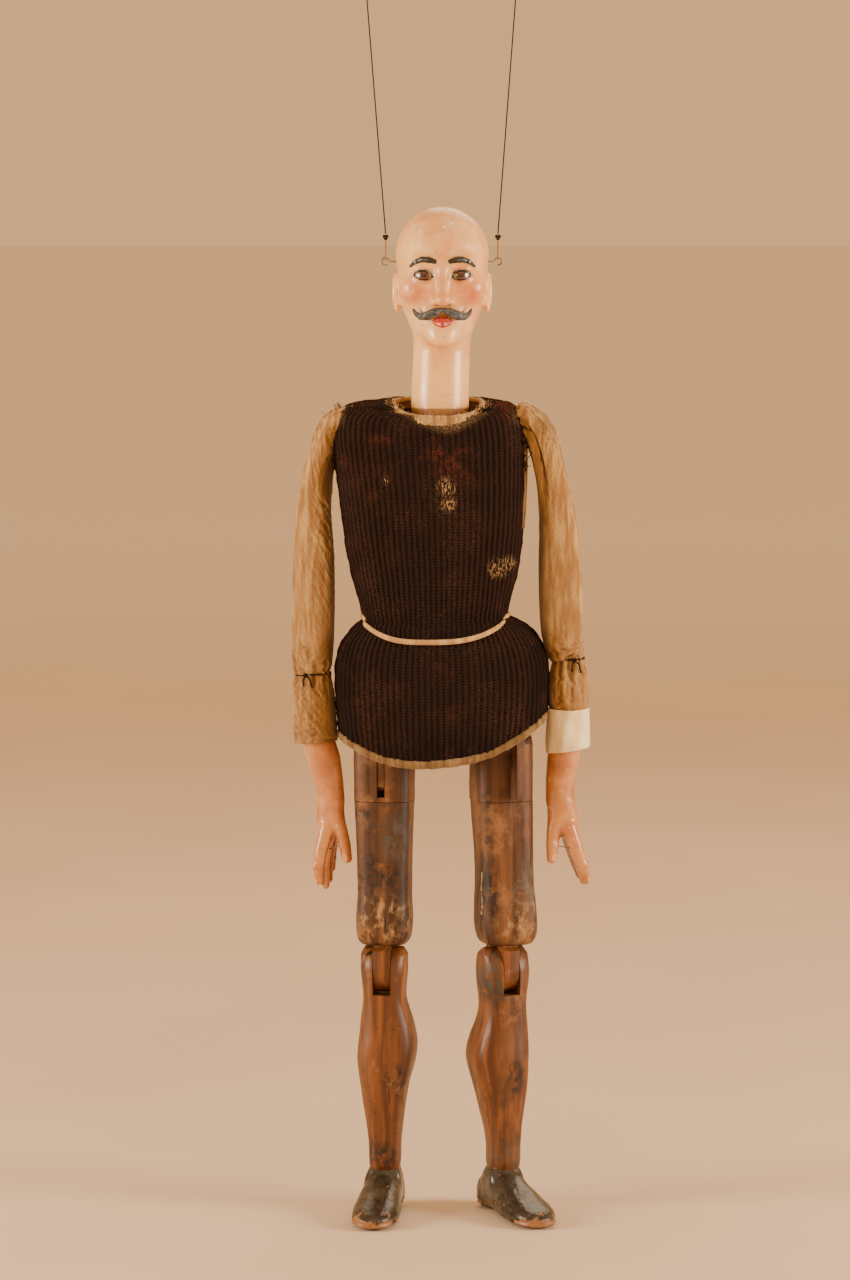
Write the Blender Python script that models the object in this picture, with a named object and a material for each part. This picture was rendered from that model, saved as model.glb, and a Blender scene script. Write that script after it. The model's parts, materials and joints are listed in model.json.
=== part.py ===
"""A carved wooden string marionette, 0.72 m tall, hanging on two strings.

Heights in this script are metres above the soles. X is to the viewer's right, and the figure faces -Y,
so its own right side is at -X. The world origin is at the top of the strings, between the hanging loops.
"""

import math

import bpy
import numpy as np
from mathutils import Matrix, Vector

# Driving heights, in metres above the soles.
ANKLE = 0.026
KNEE = 0.176
HIP = 0.330
WAIST = 0.427
NECK = 0.560
SHOULDER_SWING = 0.560
SHOULDER_RAISE = 0.552
HOOK = 0.6841
CROWN = 0.720
HANG = 0.886
ELBOW = {"right": 0.390, "left": 0.400}

# Places across the body.
SIDE = {"right": -1.0, "left": 1.0}
SWING_X = {"right": -0.0780, "left": 0.0680}
RAISE_X = {"right": -0.0850, "left": 0.0785}
ELBOW_X = {"right": -0.0905, "left": 0.0918}
LEG_X = {"right": -0.0396, "left": 0.0448}
LEG_YAW = {"right": math.radians(-8), "left": math.radians(24)}
EYE_X = {"right": -0.0385, "left": 0.0408}
STRING_TOP_X = {"right": -0.0518, "left": 0.0532}

GAP = 0.0003
WIRE = 0.0009
THICK_WIRE = 0.0011
PIN = 0.0016
STRING = 0.0005
ROUND = 22
CUTTER = 0.030


# ---- materials -----------------------------------------------------------------------------------

COLOURS = {
    "flesh_paint": ((0.80, 0.52, 0.30), 0.35, 0.0),
    "hand_paint": ((0.60, 0.30, 0.13), 0.30, 0.0),
    "jersey": ((0.045, 0.018, 0.015), 0.95, 0.0),
    "calico": ((0.52, 0.36, 0.18), 0.90, 0.0),
    "cuff_cotton": ((0.75, 0.68, 0.50), 0.90, 0.0),
    "tape": ((0.62, 0.40, 0.17), 0.90, 0.0),
    "hem": ((0.26, 0.16, 0.06), 0.90, 0.0),
    "thigh_wood": ((0.30, 0.10, 0.02), 0.60, 0.0),
    "shin_wood": ((0.40, 0.13, 0.02), 0.50, 0.0),
    "inner_wood": ((0.45, 0.28, 0.13), 0.70, 0.0),
    "tongue_wood": ((0.28, 0.11, 0.03), 0.60, 0.0),
    "shoe_paint": ((0.045, 0.04, 0.03), 0.45, 0.0),
    "steel": ((0.35, 0.33, 0.30), 0.40, 1.0),
    "string": ((0.05, 0.04, 0.035), 0.90, 0.0),
    "pale_string": ((0.60, 0.45, 0.28), 0.90, 0.0),
}


def material(name):
    """The Principled material of that name, made once."""
    found = bpy.data.materials.get(name)
    if found:
        return found
    colour, roughness, metallic = COLOURS[name]
    made = bpy.data.materials.new(name)
    made.use_nodes = True
    shader = made.node_tree.nodes["Principled BSDF"]
    shader.inputs["Base Color"].default_value = (*colour, 1.0)
    shader.inputs["Roughness"].default_value = roughness
    shader.inputs["Metallic"].default_value = metallic
    return made


# ---- joints --------------------------------------------------------------------------------------


class Joint:
    """An empty on a joint's axis, which the pieces of the body it moves are parented to."""

    def __init__(self, name, x, height, parent=None, yaw=0.0):
        self.height = height
        self.world = Matrix.Translation((x, 0, height)) @ Matrix.Rotation(yaw, 4, "Z")
        self.empty = bpy.data.objects.new(name, None)
        self.empty.empty_display_size = 0.01
        bpy.context.collection.objects.link(self.empty)
        above = parent.world if parent else Matrix.Translation((0, 0, HANG))
        self.empty.parent = parent.empty if parent else None
        self.empty.matrix_local = above.inverted() @ self.world

    def local(self, point):
        """A point of the upright figure, in this joint's own frame."""
        return self.world.inverted() @ Vector(point)


def add(name, mesh, joint, paint):
    """A new object for a mesh made in the joint's own frame."""
    obj = bpy.data.objects.new(name, mesh)
    bpy.context.collection.objects.link(obj)
    obj.parent = joint.empty
    obj.data.materials.append(material(paint))
    return obj


# ---- shapes --------------------------------------------------------------------------------------


def ring(x, y, z, half_x, half_y, power=2.2, yaw=0.0, count=ROUND):
    """A rounded-rectangle ring of points. power 2 is an ellipse, and a larger one is squarer."""
    angle = np.linspace(0, 2 * math.pi, count, endpoint=False)
    cos, sin = np.cos(angle), np.sin(angle)
    across = half_x * np.sign(cos) * np.abs(cos) ** (2 / power)
    deep = half_y * np.sign(sin) * np.abs(sin) ** (2 / power)
    turn_x = across * math.cos(yaw) - deep * math.sin(yaw)
    turn_y = across * math.sin(yaw) + deep * math.cos(yaw)
    return np.column_stack([x + turn_x, y + turn_y, np.full(count, float(z))])


def skin(name, rings, closed=False):
    """A mesh over rings of equal count, capped at both ends, or closed back on itself like a tube wall."""
    count = len(rings[0])
    faces = []
    last = len(rings) if closed else len(rings) - 1
    for row in range(last):
        low = row * count
        high = ((row + 1) % len(rings)) * count
        for i in range(count):
            j = (i + 1) % count
            faces.append((low + i, low + j, high + j, high + i))
    if not closed:
        top = (len(rings) - 1) * count
        faces.append(tuple(reversed(range(count))))
        faces.append(tuple(range(top, top + count)))
    mesh = bpy.data.meshes.new(name)
    mesh.from_pydata(np.vstack(rings).tolist(), [], faces)
    mesh.validate()
    return mesh


def upright(joint, sections, power=2.2, grow=0.0, yaw=0.0):
    """Rings from sections (height, x, y, half width, half depth), low to high, in the joint's own frame.

    x and y are measured from the joint's axis.
    """
    rings = []
    for height, x, y, half_x, half_y in sections:
        rings.append(ring(x, y, height - joint.height, half_x + grow, half_y + grow, power, yaw))
    return rings


def loft(name, joint, sections, paint, power=2.2, grow=0.0, yaw=0.0):
    """A solid over upright sections."""
    return add(name, skin(name, upright(joint, sections, power, grow, yaw)), joint, paint)


def inset(sections, depth):
    """Sections moved inward by depth, square to the mean profile."""
    radius = [(half_x + half_y) / 2 for _, _, _, half_x, half_y in sections]
    moved = []
    for i, (height, x, y, half_x, half_y) in enumerate(sections):
        before, after = max(i - 1, 0), min(i + 1, len(sections) - 1)
        run = radius[after] - radius[before]
        rise = sections[after][0] - sections[before][0]
        length = math.hypot(run, rise)
        inward, down = rise / length * depth, -run / length * depth
        moved.append((height - down, x, y, half_x - inward, half_y - inward))
    return moved


def shell(name, joint, outer, thickness, paint, power=2.3):
    """An open-ended wall over sections."""
    inner = inset(outer, thickness)
    inner[0] = (outer[0][0], *inner[0][1:])
    rings = upright(joint, outer, power) + upright(joint, inner, power)[::-1]
    return add(name, skin(name, rings, closed=True), joint, paint)


def rod(name, joint, centre, radius, length, axis, paint, sides=16):
    """A round pin about a centre in the joint's own frame, along its x, y or z."""
    turned = {
        "x": Matrix.Rotation(math.pi / 2, 4, "Y"),
        "y": Matrix.Rotation(math.pi / 2, 4, "X"),
        "z": Matrix.Identity(4),
    }[axis]
    half = length / 2
    ends = [ring(0, 0, z, radius, radius, 2.0, count=sides) for z in (-half, half)]
    obj = add(name, skin(name, ends), joint, paint)
    obj.matrix_local = Matrix.Translation(centre) @ turned
    return obj


def block(name, joint, low, high, paint):
    """A box between two corners in the joint's own frame."""
    corners = [(low[0], low[1]), (high[0], low[1]), (high[0], high[1]), (low[0], high[1])]
    rings = [np.array([(x, y, z) for x, y in corners]) for z in (low[2], high[2])]
    return add(name, skin(name, rings), joint, paint)


def wire(name, joint, points, radius, paint, cyclic=False, resolution=2):
    """A round wire or string through points in the joint's own frame."""
    curve = bpy.data.curves.new(name, "CURVE")
    curve.dimensions = "3D"
    curve.bevel_depth = radius
    curve.bevel_resolution = resolution
    curve.use_fill_caps = True
    spline = curve.splines.new("POLY")
    spline.points.add(len(points) - 1)
    for place, point in zip(spline.points, points):
        place.co = (*point, 1.0)
    spline.use_cyclic_u = cyclic
    return add(name, curve, joint, paint)


def hoop(name, joint, centre, radius, thickness, plane, paint):
    """A closed ring of wire in the xz or yz plane, as a mesh, which a boolean can join to a shank."""
    rings = []
    for angle in np.linspace(0, 2 * math.pi, 18, endpoint=False):
        flat = ring(0, 0, 0, thickness, thickness, 2.0, count=8)
        out = radius + flat[:, 0]
        across, up = out * math.cos(angle), out * math.sin(angle)
        columns = [across, flat[:, 1], up] if plane == "xz" else [flat[:, 1], across, up]
        rings.append(np.column_stack(columns) + np.array(centre))
    if plane == "xz":
        rings = rings[::-1]
    return add(name, skin(name, rings, closed=True), joint, paint)


def bar(name, joint, start, end, radius, paint):
    """A round bar between two points in the joint's own frame."""
    run = Vector(end) - Vector(start)
    ends = [ring(0, 0, z, radius, radius, 2.0, count=12) for z in (0.0, run.length)]
    obj = add(name, skin(name, ends), joint, paint)
    obj.matrix_local = Matrix.Translation(start) @ run.to_track_quat("Z", "Y").to_matrix().to_4x4()
    return obj


def arc(centre, radius, start, end, plane, steps=12):
    """Points round an arc in the xz or yz plane, with angles in degrees from the flat axis upward."""
    points = []
    for angle in np.radians(np.linspace(start, end, steps)):
        flat, up = radius * math.cos(angle), radius * math.sin(angle)
        offset = Vector((flat, 0, up)) if plane == "xz" else Vector((0, flat, up))
        points.append(Vector(centre) + offset)
    return points


def change(obj, operation, other):
    """A boolean with a cutter, or with a piece that joins the object."""
    made = obj.modifiers.new(f"{operation}_{other.name}".lower(), "BOOLEAN")
    made.operation = operation
    made.solver = "EXACT"
    made.object = other
    other.hide_render = True
    other.display_type = "WIRE"


def cut(obj, cutter):
    """Take a cutter's shape out of an object."""
    change(obj, "DIFFERENCE", cutter)


def join(obj, addition):
    """Grow one solid body out of two shapes."""
    change(obj, "UNION", addition)


# ---- strings -------------------------------------------------------------------------------------

EYE_RING = 0.0026
KNOT_HEIGHT = 0.6985
KNOT_SIZE = 0.0019
LOOP_HALF = 0.0017
HANG_KNOT = 0.8690


def loop(name, joint, x, low, high, half, paint):
    """A closed upright loop of string in the yz plane, round at the bottom and narrow at the top."""
    points = arc((x, 0, low + half), half, 200, 340, "yz", 9)
    points += arc((x, 0, high - half * 0.5), half * 0.5, 20, 160, "yz", 7)
    return wire(name, joint, points, STRING, paint, cyclic=True)


def make_string(side, root):
    """One string: the loop through the head's hook, a knot, the string, and the hanging loop at its top."""
    foot_x = EYE_X[side]
    top_x = STRING_TOP_X[side]
    local = root.height
    axis = HOOK - local
    loop(f"{side}_eye_loop", root, foot_x, axis - LOOP_HALF, KNOT_HEIGHT - KNOT_SIZE - 0.001 - local,
         LOOP_HALF, "pale_string")
    knot_z = KNOT_HEIGHT - local
    heights = (-1.0, -0.8, 0.0, 0.8, 1.0)
    knot = [
        ring(foot_x, 0, knot_z + KNOT_SIZE * h, *(2 * [KNOT_SIZE * math.sqrt(1.15 - h * h)]), 2.0, count=12)
        for h in heights
    ]
    add(f"{side}_string_knot", skin("knot", knot), root, "string")
    start = Vector((foot_x, 0, knot_z + KNOT_SIZE + GAP))
    end = Vector((top_x, 0, HANG_KNOT - local))
    steps = 60
    run = [start.lerp(end, i / steps) for i in range(steps + 1)]
    wire(f"{side}_string", root, run, STRING, "string")
    loop(f"{side}_hanging_loop", root, top_x, HANG_KNOT + 0.0014 - local, -0.0005, 0.004, "string")


# ---- head ----------------------------------------------------------------------------------------

HEAD_X = 0.0015
NECK_BOTTOM = 0.5700
NECK_RADIUS = 0.0205
SHANK_TOP = 0.600
HEAD = [
    (NECK_BOTTOM, 0, 0, NECK_RADIUS - 0.001, NECK_RADIUS - 0.001),
    (NECK_BOTTOM + 0.001, 0, 0, NECK_RADIUS, NECK_RADIUS),
    (0.590, 0, 0.0005, 0.0203, 0.0205),
    (0.608, 0, 0.0010, 0.0200, 0.0210),
    (0.6185, 0, 0.0000, 0.0210, 0.0240),
    (0.6235, HEAD_X, -0.0050, 0.0245, 0.0330),
    (0.634, HEAD_X, -0.0035, 0.0290, 0.0375),
    (0.648, HEAD_X, -0.0010, 0.0318, 0.0400),
    (0.664, HEAD_X, 0.0010, 0.0333, 0.0415),
    (0.680, HEAD_X, 0.0020, 0.0336, 0.0420),
    (0.694, HEAD_X, 0.0025, 0.0322, 0.0400),
    (0.705, HEAD_X, 0.0025, 0.0280, 0.0345),
    (0.7135, HEAD_X, 0.0025, 0.0205, 0.0255),
    (0.7185, HEAD_X, 0.0025, 0.0115, 0.0145),
    (CROWN, HEAD_X, 0.0025, 0.0035, 0.0045),
]
EAR_HEIGHT = 0.657
HOOK_BURIED = 0.012


def make_ear(side, head_joint):
    """A small flattened ear that joins the head."""
    out = SIDE[side]
    centre = head_joint.local((HEAD_X + out * 0.0330, 0.005, EAR_HEIGHT))
    heights = np.sin(np.radians((-80, -55, -25, 0, 25, 55, 80)))
    rings = []
    for h in heights:
        wide = math.sqrt(1.02 - h * h)
        z = centre.z + 0.0125 * h
        rings.append(ring(centre.x, centre.y, z, 0.0058 * wide, 0.0075 * wide, 2.0, count=14))
    return add(f"{side}_ear_shape", skin("ear", rings), head_joint, "flesh_paint")


def make_hook(side, name, head_joint, open_end):
    """A wire screwed into the head's side, with an eye or an open hook for the string loop."""
    out = SIDE[side]
    centre = head_joint.local((EYE_X[side], 0, HOOK - EYE_RING))
    inner = centre - Vector((out * EYE_RING, 0, 0))
    shank = [inner - Vector((out * d, 0, 0)) for d in (HOOK_BURIED, 0.004, 0.0015)]
    if out > 0:
        bend = arc(centre, EYE_RING, 170, -100 if open_end else -120, "xz", 18)
    else:
        bend = arc(centre, EYE_RING, 10, 300, "xz", 18)
    return wire(name, head_joint, shank + bend, 0.0006, "steel")


def make_head(head_joint):
    """The carved head and neck, with the bores for its hooks and for the neck swivel."""
    head = loft("head", head_joint, HEAD, "flesh_paint", power=2.15)
    for side in SIDE:
        join(head, make_ear(side, head_joint))
    hooks = {"right": "right_screw_eye", "left": "left_hook"}
    for side, name in hooks.items():
        make_hook(side, name, head_joint, side == "left")
        middle = head_joint.local((SIDE[side] * 0.0330, 0, HOOK - EYE_RING))
        bore = rod(f"{side}_hook_bore", head_joint, middle, 0.0006 + GAP, 0.036, "x", "steel", 12)
        cut(head, bore)
    bore = rod("neck_bore", head_joint, head_joint.local((0, 0, NECK_BOTTOM)), 0.0030 + GAP,
               2 * (SHANK_TOP - NECK_BOTTOM) + 0.001, "z", "steel")
    cut(head, bore)


# ---- swivels and staples -------------------------------------------------------------------------

SWIVEL_EYE = 0.0034
SWIVEL_SHANK = 0.0030


def make_swivel(name, joint, pivot, reach):
    """A wire eye about a staple's cross bar, with a round wooden shank that turns in the next block.

    reach is the shank's signed length from the pivot, up or down.
    """
    away = math.copysign(1.0, reach)
    centre = joint.local(pivot)
    body = hoop(name, joint, centre, SWIVEL_EYE, WIRE, "yz", "steel")
    heights = [away * (SWIVEL_EYE + 0.0002), reach]
    rings = []
    for z in sorted(heights):
        rings.append(ring(centre.x, centre.y, centre.z + z, SWIVEL_SHANK, SWIVEL_SHANK, 2.0, count=16))
    shank = add(f"{name}_shank_shape", skin("shank", rings), joint, "steel")
    join(body, shank)
    return body


def make_staple(name, joint, pivot, half, legs):
    """A U of wire: its cross bar along x at the pivot, its legs running up or down by legs."""
    centre = joint.local(pivot)
    side_x = Vector((half, 0, 0))
    leg = Vector((0, 0, legs))
    bend = math.copysign(0.0015, legs)
    points = [centre - side_x + leg, centre - side_x + Vector((0, 0, bend)), centre - side_x * 0.85]
    points += [centre + side_x * 0.85, centre + side_x + Vector((0, 0, bend)), centre + side_x + leg]
    return wire(name, joint, points, THICK_WIRE, "steel")


def bore_for_legs(obj, name, joint, pivot, half, legs):
    """Two bores that a staple's legs stand in."""
    centre = joint.local(pivot)
    for sign in (-1, 1):
        middle = centre + Vector((sign * half, 0, legs / 2))
        length = abs(legs) + 2 * GAP
        cut(obj, rod(f"{name}_bore_{sign}", joint, middle, THICK_WIRE + GAP, length, "z", "steel", 12))


# ---- torso ---------------------------------------------------------------------------------------

JERSEY = 0.0016
CALICO = 0.0009
UNDER_JERSEY = JERSEY + 0.0005
UNDER_CALICO = UNDER_JERSEY + CALICO + 0.0006
CHEST_BOTTOM = 0.4345
CHEST = [
    (CHEST_BOTTOM, -0.0036, 0, 0.0525, 0.0315),
    (0.446, -0.0038, 0, 0.0555, 0.0325),
    (0.462, -0.0040, 0, 0.0590, 0.0335),
    (0.480, -0.0045, 0, 0.0618, 0.0345),
    (0.500, -0.0050, 0, 0.0638, 0.0350),
    (0.520, -0.0055, 0, 0.0652, 0.0355),
    (0.540, -0.0060, 0, 0.0660, 0.0355),
    (0.556, -0.0060, 0, 0.0660, 0.0352),
    (0.567, -0.0060, 0, 0.0640, 0.0348),
    (0.5745, -0.0055, 0, 0.0580, 0.0342),
    (0.5785, -0.0045, 0, 0.0480, 0.0335),
    (0.5800, -0.0030, 0, 0.0380, 0.0325),
]
COLLAR_RADIUS = 0.0290
BOWL_RADIUS = 0.0255
STAPLE_HALF = 0.0055
NECK_STAPLE_LEGS = -0.040
WAIST_STAPLE_LEGS = 0.030


def make_chest(chest):
    """The chest block with its covers, collar and staples."""
    core = inset(CHEST, UNDER_CALICO)
    core[0] = CHEST[0][:3] + core[0][3:]
    body = loft("chest_block", chest, core, "inner_wood", power=2.3)
    bowl = add("bowl_shape", skin("bowl", ball_rings(BOWL_RADIUS, 24, 14)), chest, "inner_wood")
    bowl.location = chest.local((0, 0, NECK))
    cut(body, bowl)
    mouth = rod("mouth_shape", chest, chest.local((0, 0, NECK + 0.022)), COLLAR_RADIUS - 0.0015, 0.030, "z",
                "inner_wood", 24)
    cut(body, mouth)
    neck_pivot, waist_pivot = (0, 0, NECK), (0, 0, WAIST)
    make_staple("neck_staple", chest, neck_pivot, STAPLE_HALF, NECK_STAPLE_LEGS)
    bore_for_legs(body, "neck_staple", chest, neck_pivot, STAPLE_HALF, NECK_STAPLE_LEGS)
    make_staple("waist_staple", chest, waist_pivot, STAPLE_HALF, WAIST_STAPLE_LEGS)
    bore_for_legs(body, "waist_staple", chest, waist_pivot, STAPLE_HALF, WAIST_STAPLE_LEGS)
    pocket = block("waist_pocket", chest, chest.local((-0.0035, -0.006, CHEST_BOTTOM - 0.002)),
                   chest.local((0.0035, 0.006, CHEST_BOTTOM + 0.002)), "inner_wood")
    cut(body, pocket)
    shell("jersey_upper", chest, CHEST, JERSEY, "jersey")
    calico = inset(CHEST, UNDER_JERSEY)
    calico[0] = CHEST[0][:3] + calico[0][3:]
    shell("calico_cover", chest, calico, CALICO, "calico")
    make_collar(chest)
    return body


def ball_rings(radius, count, rows):
    """Rings of a ball about the origin, low to high."""
    rings = []
    for angle in np.radians(np.linspace(-88, 88, rows)):
        across = radius * math.cos(angle)
        rings.append(ring(0, 0, radius * math.sin(angle), across, across, 2.0, count=count))
    return rings


def make_collar(chest):
    """The frayed binding round the neck opening."""
    height, x, _, half_x, half_y = CHEST[-1]
    inner_x, inner_y = COLLAR_RADIUS - 0.001, COLLAR_RADIUS - 0.001
    gap = 2 * GAP
    outer_x, outer_y = half_x - gap, half_y - gap
    z = height - chest.height
    low, high = z - 0.0010, z + 0.0012
    rings = [
        ring(x, 0, low - 0.002, inner_x + 0.0025, inner_y - 0.0005, 2.2),
        ring(x, 0, high, inner_x + 0.0015, inner_y - 0.0005, 2.2),
        ring(x, 0, high, outer_x + 0.004, outer_y + 0.0006, 2.3),
        ring(x, 0, z + GAP, outer_x + 0.004, outer_y + 0.0006, 2.3),
        ring(x, 0, z + GAP, inner_x + 0.0045, inner_y + 0.0012, 2.3),
        ring(x, 0, low - 0.002, inner_x + 0.0038, inner_y + 0.0005, 2.3),
    ]
    add("collar_binding", skin("collar", rings[::-1], closed=True), chest, "calico")


# ---- waist ---------------------------------------------------------------------------------------

PELVIS_TOP = 0.4205


def make_waist(link):
    """The swivel in the waist, the cloth that closes the gap, and the tape round it."""
    make_swivel("waist_swivel", link, (0, 0, WAIST), -0.034)
    gap = [
        (PELVIS_TOP + GAP, -0.0025, 0, 0.0525, 0.0305),
        (WAIST, -0.0030, 0, 0.0515, 0.0302),
        (CHEST_BOTTOM - GAP, -0.0036, 0, 0.0510, 0.0300),
    ]
    shell("waist_cloth", link, gap, 0.0015, "jersey")
    tape = [
        (WAIST - 0.0020, -0.0030, 0, 0.0545, 0.0330),
        (WAIST + 0.0020, -0.0032, 0, 0.0545, 0.0330),
    ]
    shell("waist_tape", link, tape, 0.0012, "tape")


# ---- pelvis --------------------------------------------------------------------------------------

PELVIS = [
    (0.3270, 0.0015, 0, 0.0700, 0.0385),
    (0.3380, 0.0015, 0, 0.0722, 0.0400),
    (0.3500, 0.0015, 0, 0.0738, 0.0412),
    (0.3640, 0.0015, 0, 0.0750, 0.0420),
    (0.3800, 0.0015, 0, 0.0758, 0.0420),
    (0.3930, 0.0012, 0, 0.0752, 0.0405),
    (0.4030, 0.0010, 0, 0.0728, 0.0385),
    (0.4110, 0.0005, 0, 0.0685, 0.0360),
    (0.4170, 0.0000, 0, 0.0630, 0.0335),
    (PELVIS_TOP, -0.0010, 0, 0.0570, 0.0315),
]
BINDING_HEIGHT = 0.0056
BLOCK_BOTTOM = 0.3600
SHANK_RADIUS = 0.0030
SHANK_TOP_HIP = 0.400


def hem_rise(x):
    """How far the hem stands above its lowest point. It rises to the hips, and a little more on the left."""
    return 0.030 * np.abs(x / 0.075) ** 2.5 + 0.0065 * x / 0.075


def draped(joint, heights, depth):
    """Rings at heights on the pelvis, depth under its surface, the lower ones lifted by the hem's rise."""
    table = np.array(inset(PELVIS, depth) if depth else PELVIS)
    low, high = PELVIS[0][0], PELVIS[-1][0]
    rings = []
    for height in heights:
        x, y, half_x, half_y = (np.interp(height, table[:, 0], table[:, i]) for i in range(1, 5))
        points = ring(x, y, height, half_x, half_y, 2.3)
        risen = height + hem_rise(points[:, 0]) * (1 - (height - low) / (high - low))
        wide = np.interp(risen, table[:, 0], table[:, 3]) / half_x
        deep = np.interp(risen, table[:, 0], table[:, 4]) / half_y
        points[:, 0] = x + (points[:, 0] - x) * wide
        points[:, 1] = y + (points[:, 1] - y) * deep
        points[:, 2] = risen - joint.height
        rings.append(points)
    return rings


def make_pelvis(pelvis):
    """The pelvis block, the lower half of the jersey, and its hem."""
    core = [row for row in inset(PELVIS, UNDER_JERSEY + 2 * GAP) if row[0] > BLOCK_BOTTOM]
    core.insert(0, (BLOCK_BOTTOM, *core[0][1:]))
    core[-1] = (PELVIS_TOP, *core[-1][1:])
    body = loft("pelvis_block", pelvis, core, "inner_wood", power=2.3)
    waist_bore = rod("waist_bore", pelvis, pelvis.local((0, 0, PELVIS_TOP)), SWIVEL_SHANK + GAP,
                     2 * (PELVIS_TOP - WAIST + 0.034 + 2 * GAP), "z", "inner_wood")
    cut(body, waist_bore)
    dish = add("dish_shape", skin("dish", ball_rings(0.0072, 16, 8)), pelvis, "inner_wood")
    dish.location = pelvis.local((0, 0, WAIST))
    cut(body, dish)
    for side in SIDE:
        mouth = pelvis.local((LEG_X[side], 0, BLOCK_BOTTOM))
        depth = SHANK_TOP_HIP - BLOCK_BOTTOM + GAP
        bore = rod(f"{side}_hip_bore", pelvis, mouth, SHANK_RADIUS + GAP, 2 * depth, "z", "inner_wood")
        cut(body, bore)
    hem_top = PELVIS[0][0] + BINDING_HEIGHT
    heights = [hem_top + GAP] + [row[0] for row in PELVIS if row[0] > hem_top + 0.001]
    jersey = draped(pelvis, heights, 0) + draped(pelvis, heights, JERSEY)[::-1]
    add("jersey_lower", skin("jersey", jersey, closed=True), pelvis, "jersey")
    heights = [PELVIS[0][0], hem_top]
    hem = draped(pelvis, heights, 0) + draped(pelvis, heights, JERSEY)[::-1]
    add("hem_binding", skin("hem", hem, closed=True), pelvis, "hem")


# ---- arms ----------------------------------------------------------------------------------------

CONE = math.tan(math.radians(40))
TIE_RADIUS = {"right": 0.0115, "left": 0.0108}
SLEEVE_TOP = {
    "right": [
        (0.430, -0.0900, 0, 0.0140, 0.0140),
        (0.470, -0.0897, 0, 0.0138, 0.0140),
        (0.500, -0.0905, 0, 0.0122, 0.0135),
        (0.522, -0.0905, 0, 0.0112, 0.0125),
        (0.538, -0.0885, 0, 0.0095, 0.0110),
        (0.545, -0.0875, 0, 0.0070, 0.0085),
        (0.5475, -0.0870, 0, 0.0035, 0.0045),
    ],
    "left": [
        (0.440, 0.0866, 0, 0.0150, 0.0145),
        (0.470, 0.0850, 0, 0.0143, 0.0145),
        (0.500, 0.0838, 0, 0.0122, 0.0135),
        (0.522, 0.0815, 0, 0.0105, 0.0125),
        (0.538, 0.0800, 0, 0.0090, 0.0110),
        (0.545, 0.0795, 0, 0.0070, 0.0085),
        (0.5475, 0.0795, 0, 0.0035, 0.0045),
    ],
}
SLEEVE_BOTTOM = {"right": 0.3400, "left": 0.3560}
FOREARM = {
    "right": [
        (0.2800, -0.0768, 0, 0.0118, 0.0075),
        (0.2870, -0.0765, 0, 0.0106, 0.0080),
        (0.2980, -0.0772, 0, 0.0099, 0.0085),
        (0.3125, -0.0794, 0, 0.0106, 0.0095),
        (0.3270, -0.0826, 0, 0.0120, 0.0108),
        (0.3420, -0.0862, 0, 0.0126, 0.0115),
        (0.3580, -0.0885, 0, 0.0110, 0.0108),
        (0.3680, -0.0890, 0, 0.0085, 0.0085),
    ],
    "left": [
        (0.2800, 0.0885, 0, 0.0125, 0.0075),
        (0.2870, 0.0870, 0, 0.0118, 0.0080),
        (0.2980, 0.0855, 0, 0.0106, 0.0085),
        (0.3125, 0.0857, 0, 0.0103, 0.0095),
        (0.3270, 0.0876, 0, 0.0112, 0.0105),
        (0.3420, 0.0900, 0, 0.0120, 0.0115),
        (0.3640, 0.0915, 0, 0.0105, 0.0105),
        (0.3760, 0.0918, 0, 0.0080, 0.0085),
    ],
}
FINGERS = {
    "right": [
        (0.2335, -0.0832, 0.0035, 0.0050, 0.0040),
        (0.2360, -0.0832, 0.0035, 0.0066, 0.0055),
        (0.2450, -0.0832, 0.0035, 0.0070, 0.0065),
        (0.2600, -0.0836, 0.0020, 0.0072, 0.0070),
        (0.2740, -0.0820, 0.0005, 0.0080, 0.0072),
        (0.2840, -0.0780, 0, 0.0090, 0.0074),
    ],
    "left": [
        (0.2370, 0.1045, 0.0035, 0.0030, 0.0040),
        (0.2400, 0.1042, 0.0035, 0.0042, 0.0055),
        (0.2500, 0.1024, 0.0030, 0.0050, 0.0065),
        (0.2620, 0.1003, 0.0020, 0.0058, 0.0068),
        (0.2740, 0.0960, 0.0005, 0.0078, 0.0070),
        (0.2840, 0.0900, 0, 0.0100, 0.0074),
    ],
}
THUMB = {
    "right": [
        (0.2525, -0.0663, -0.0010, 0.0022, 0.0024),
        (0.2550, -0.0663, -0.0010, 0.0036, 0.0038),
        (0.2650, -0.0668, -0.0005, 0.0038, 0.0042),
        (0.2740, -0.0690, 0, 0.0042, 0.0046),
        (0.2840, -0.0730, 0, 0.0060, 0.0060),
    ],
    "left": [
        (0.2525, 0.0800, -0.0010, 0.0022, 0.0024),
        (0.2550, 0.0800, -0.0010, 0.0037, 0.0038),
        (0.2650, 0.0800, -0.0005, 0.0039, 0.0042),
        (0.2740, 0.0808, 0, 0.0044, 0.0046),
        (0.2840, 0.0850, 0, 0.0070, 0.0060),
    ],
}


def about(sections, joint):
    """Sections given in the upright figure's x, measured from a joint's axis instead."""
    return [(height, x - joint.world.translation.x, *rest) for height, x, *rest in sections]


LINK_EYE = 0.0026
LINK_WIRE = 0.0008


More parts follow.
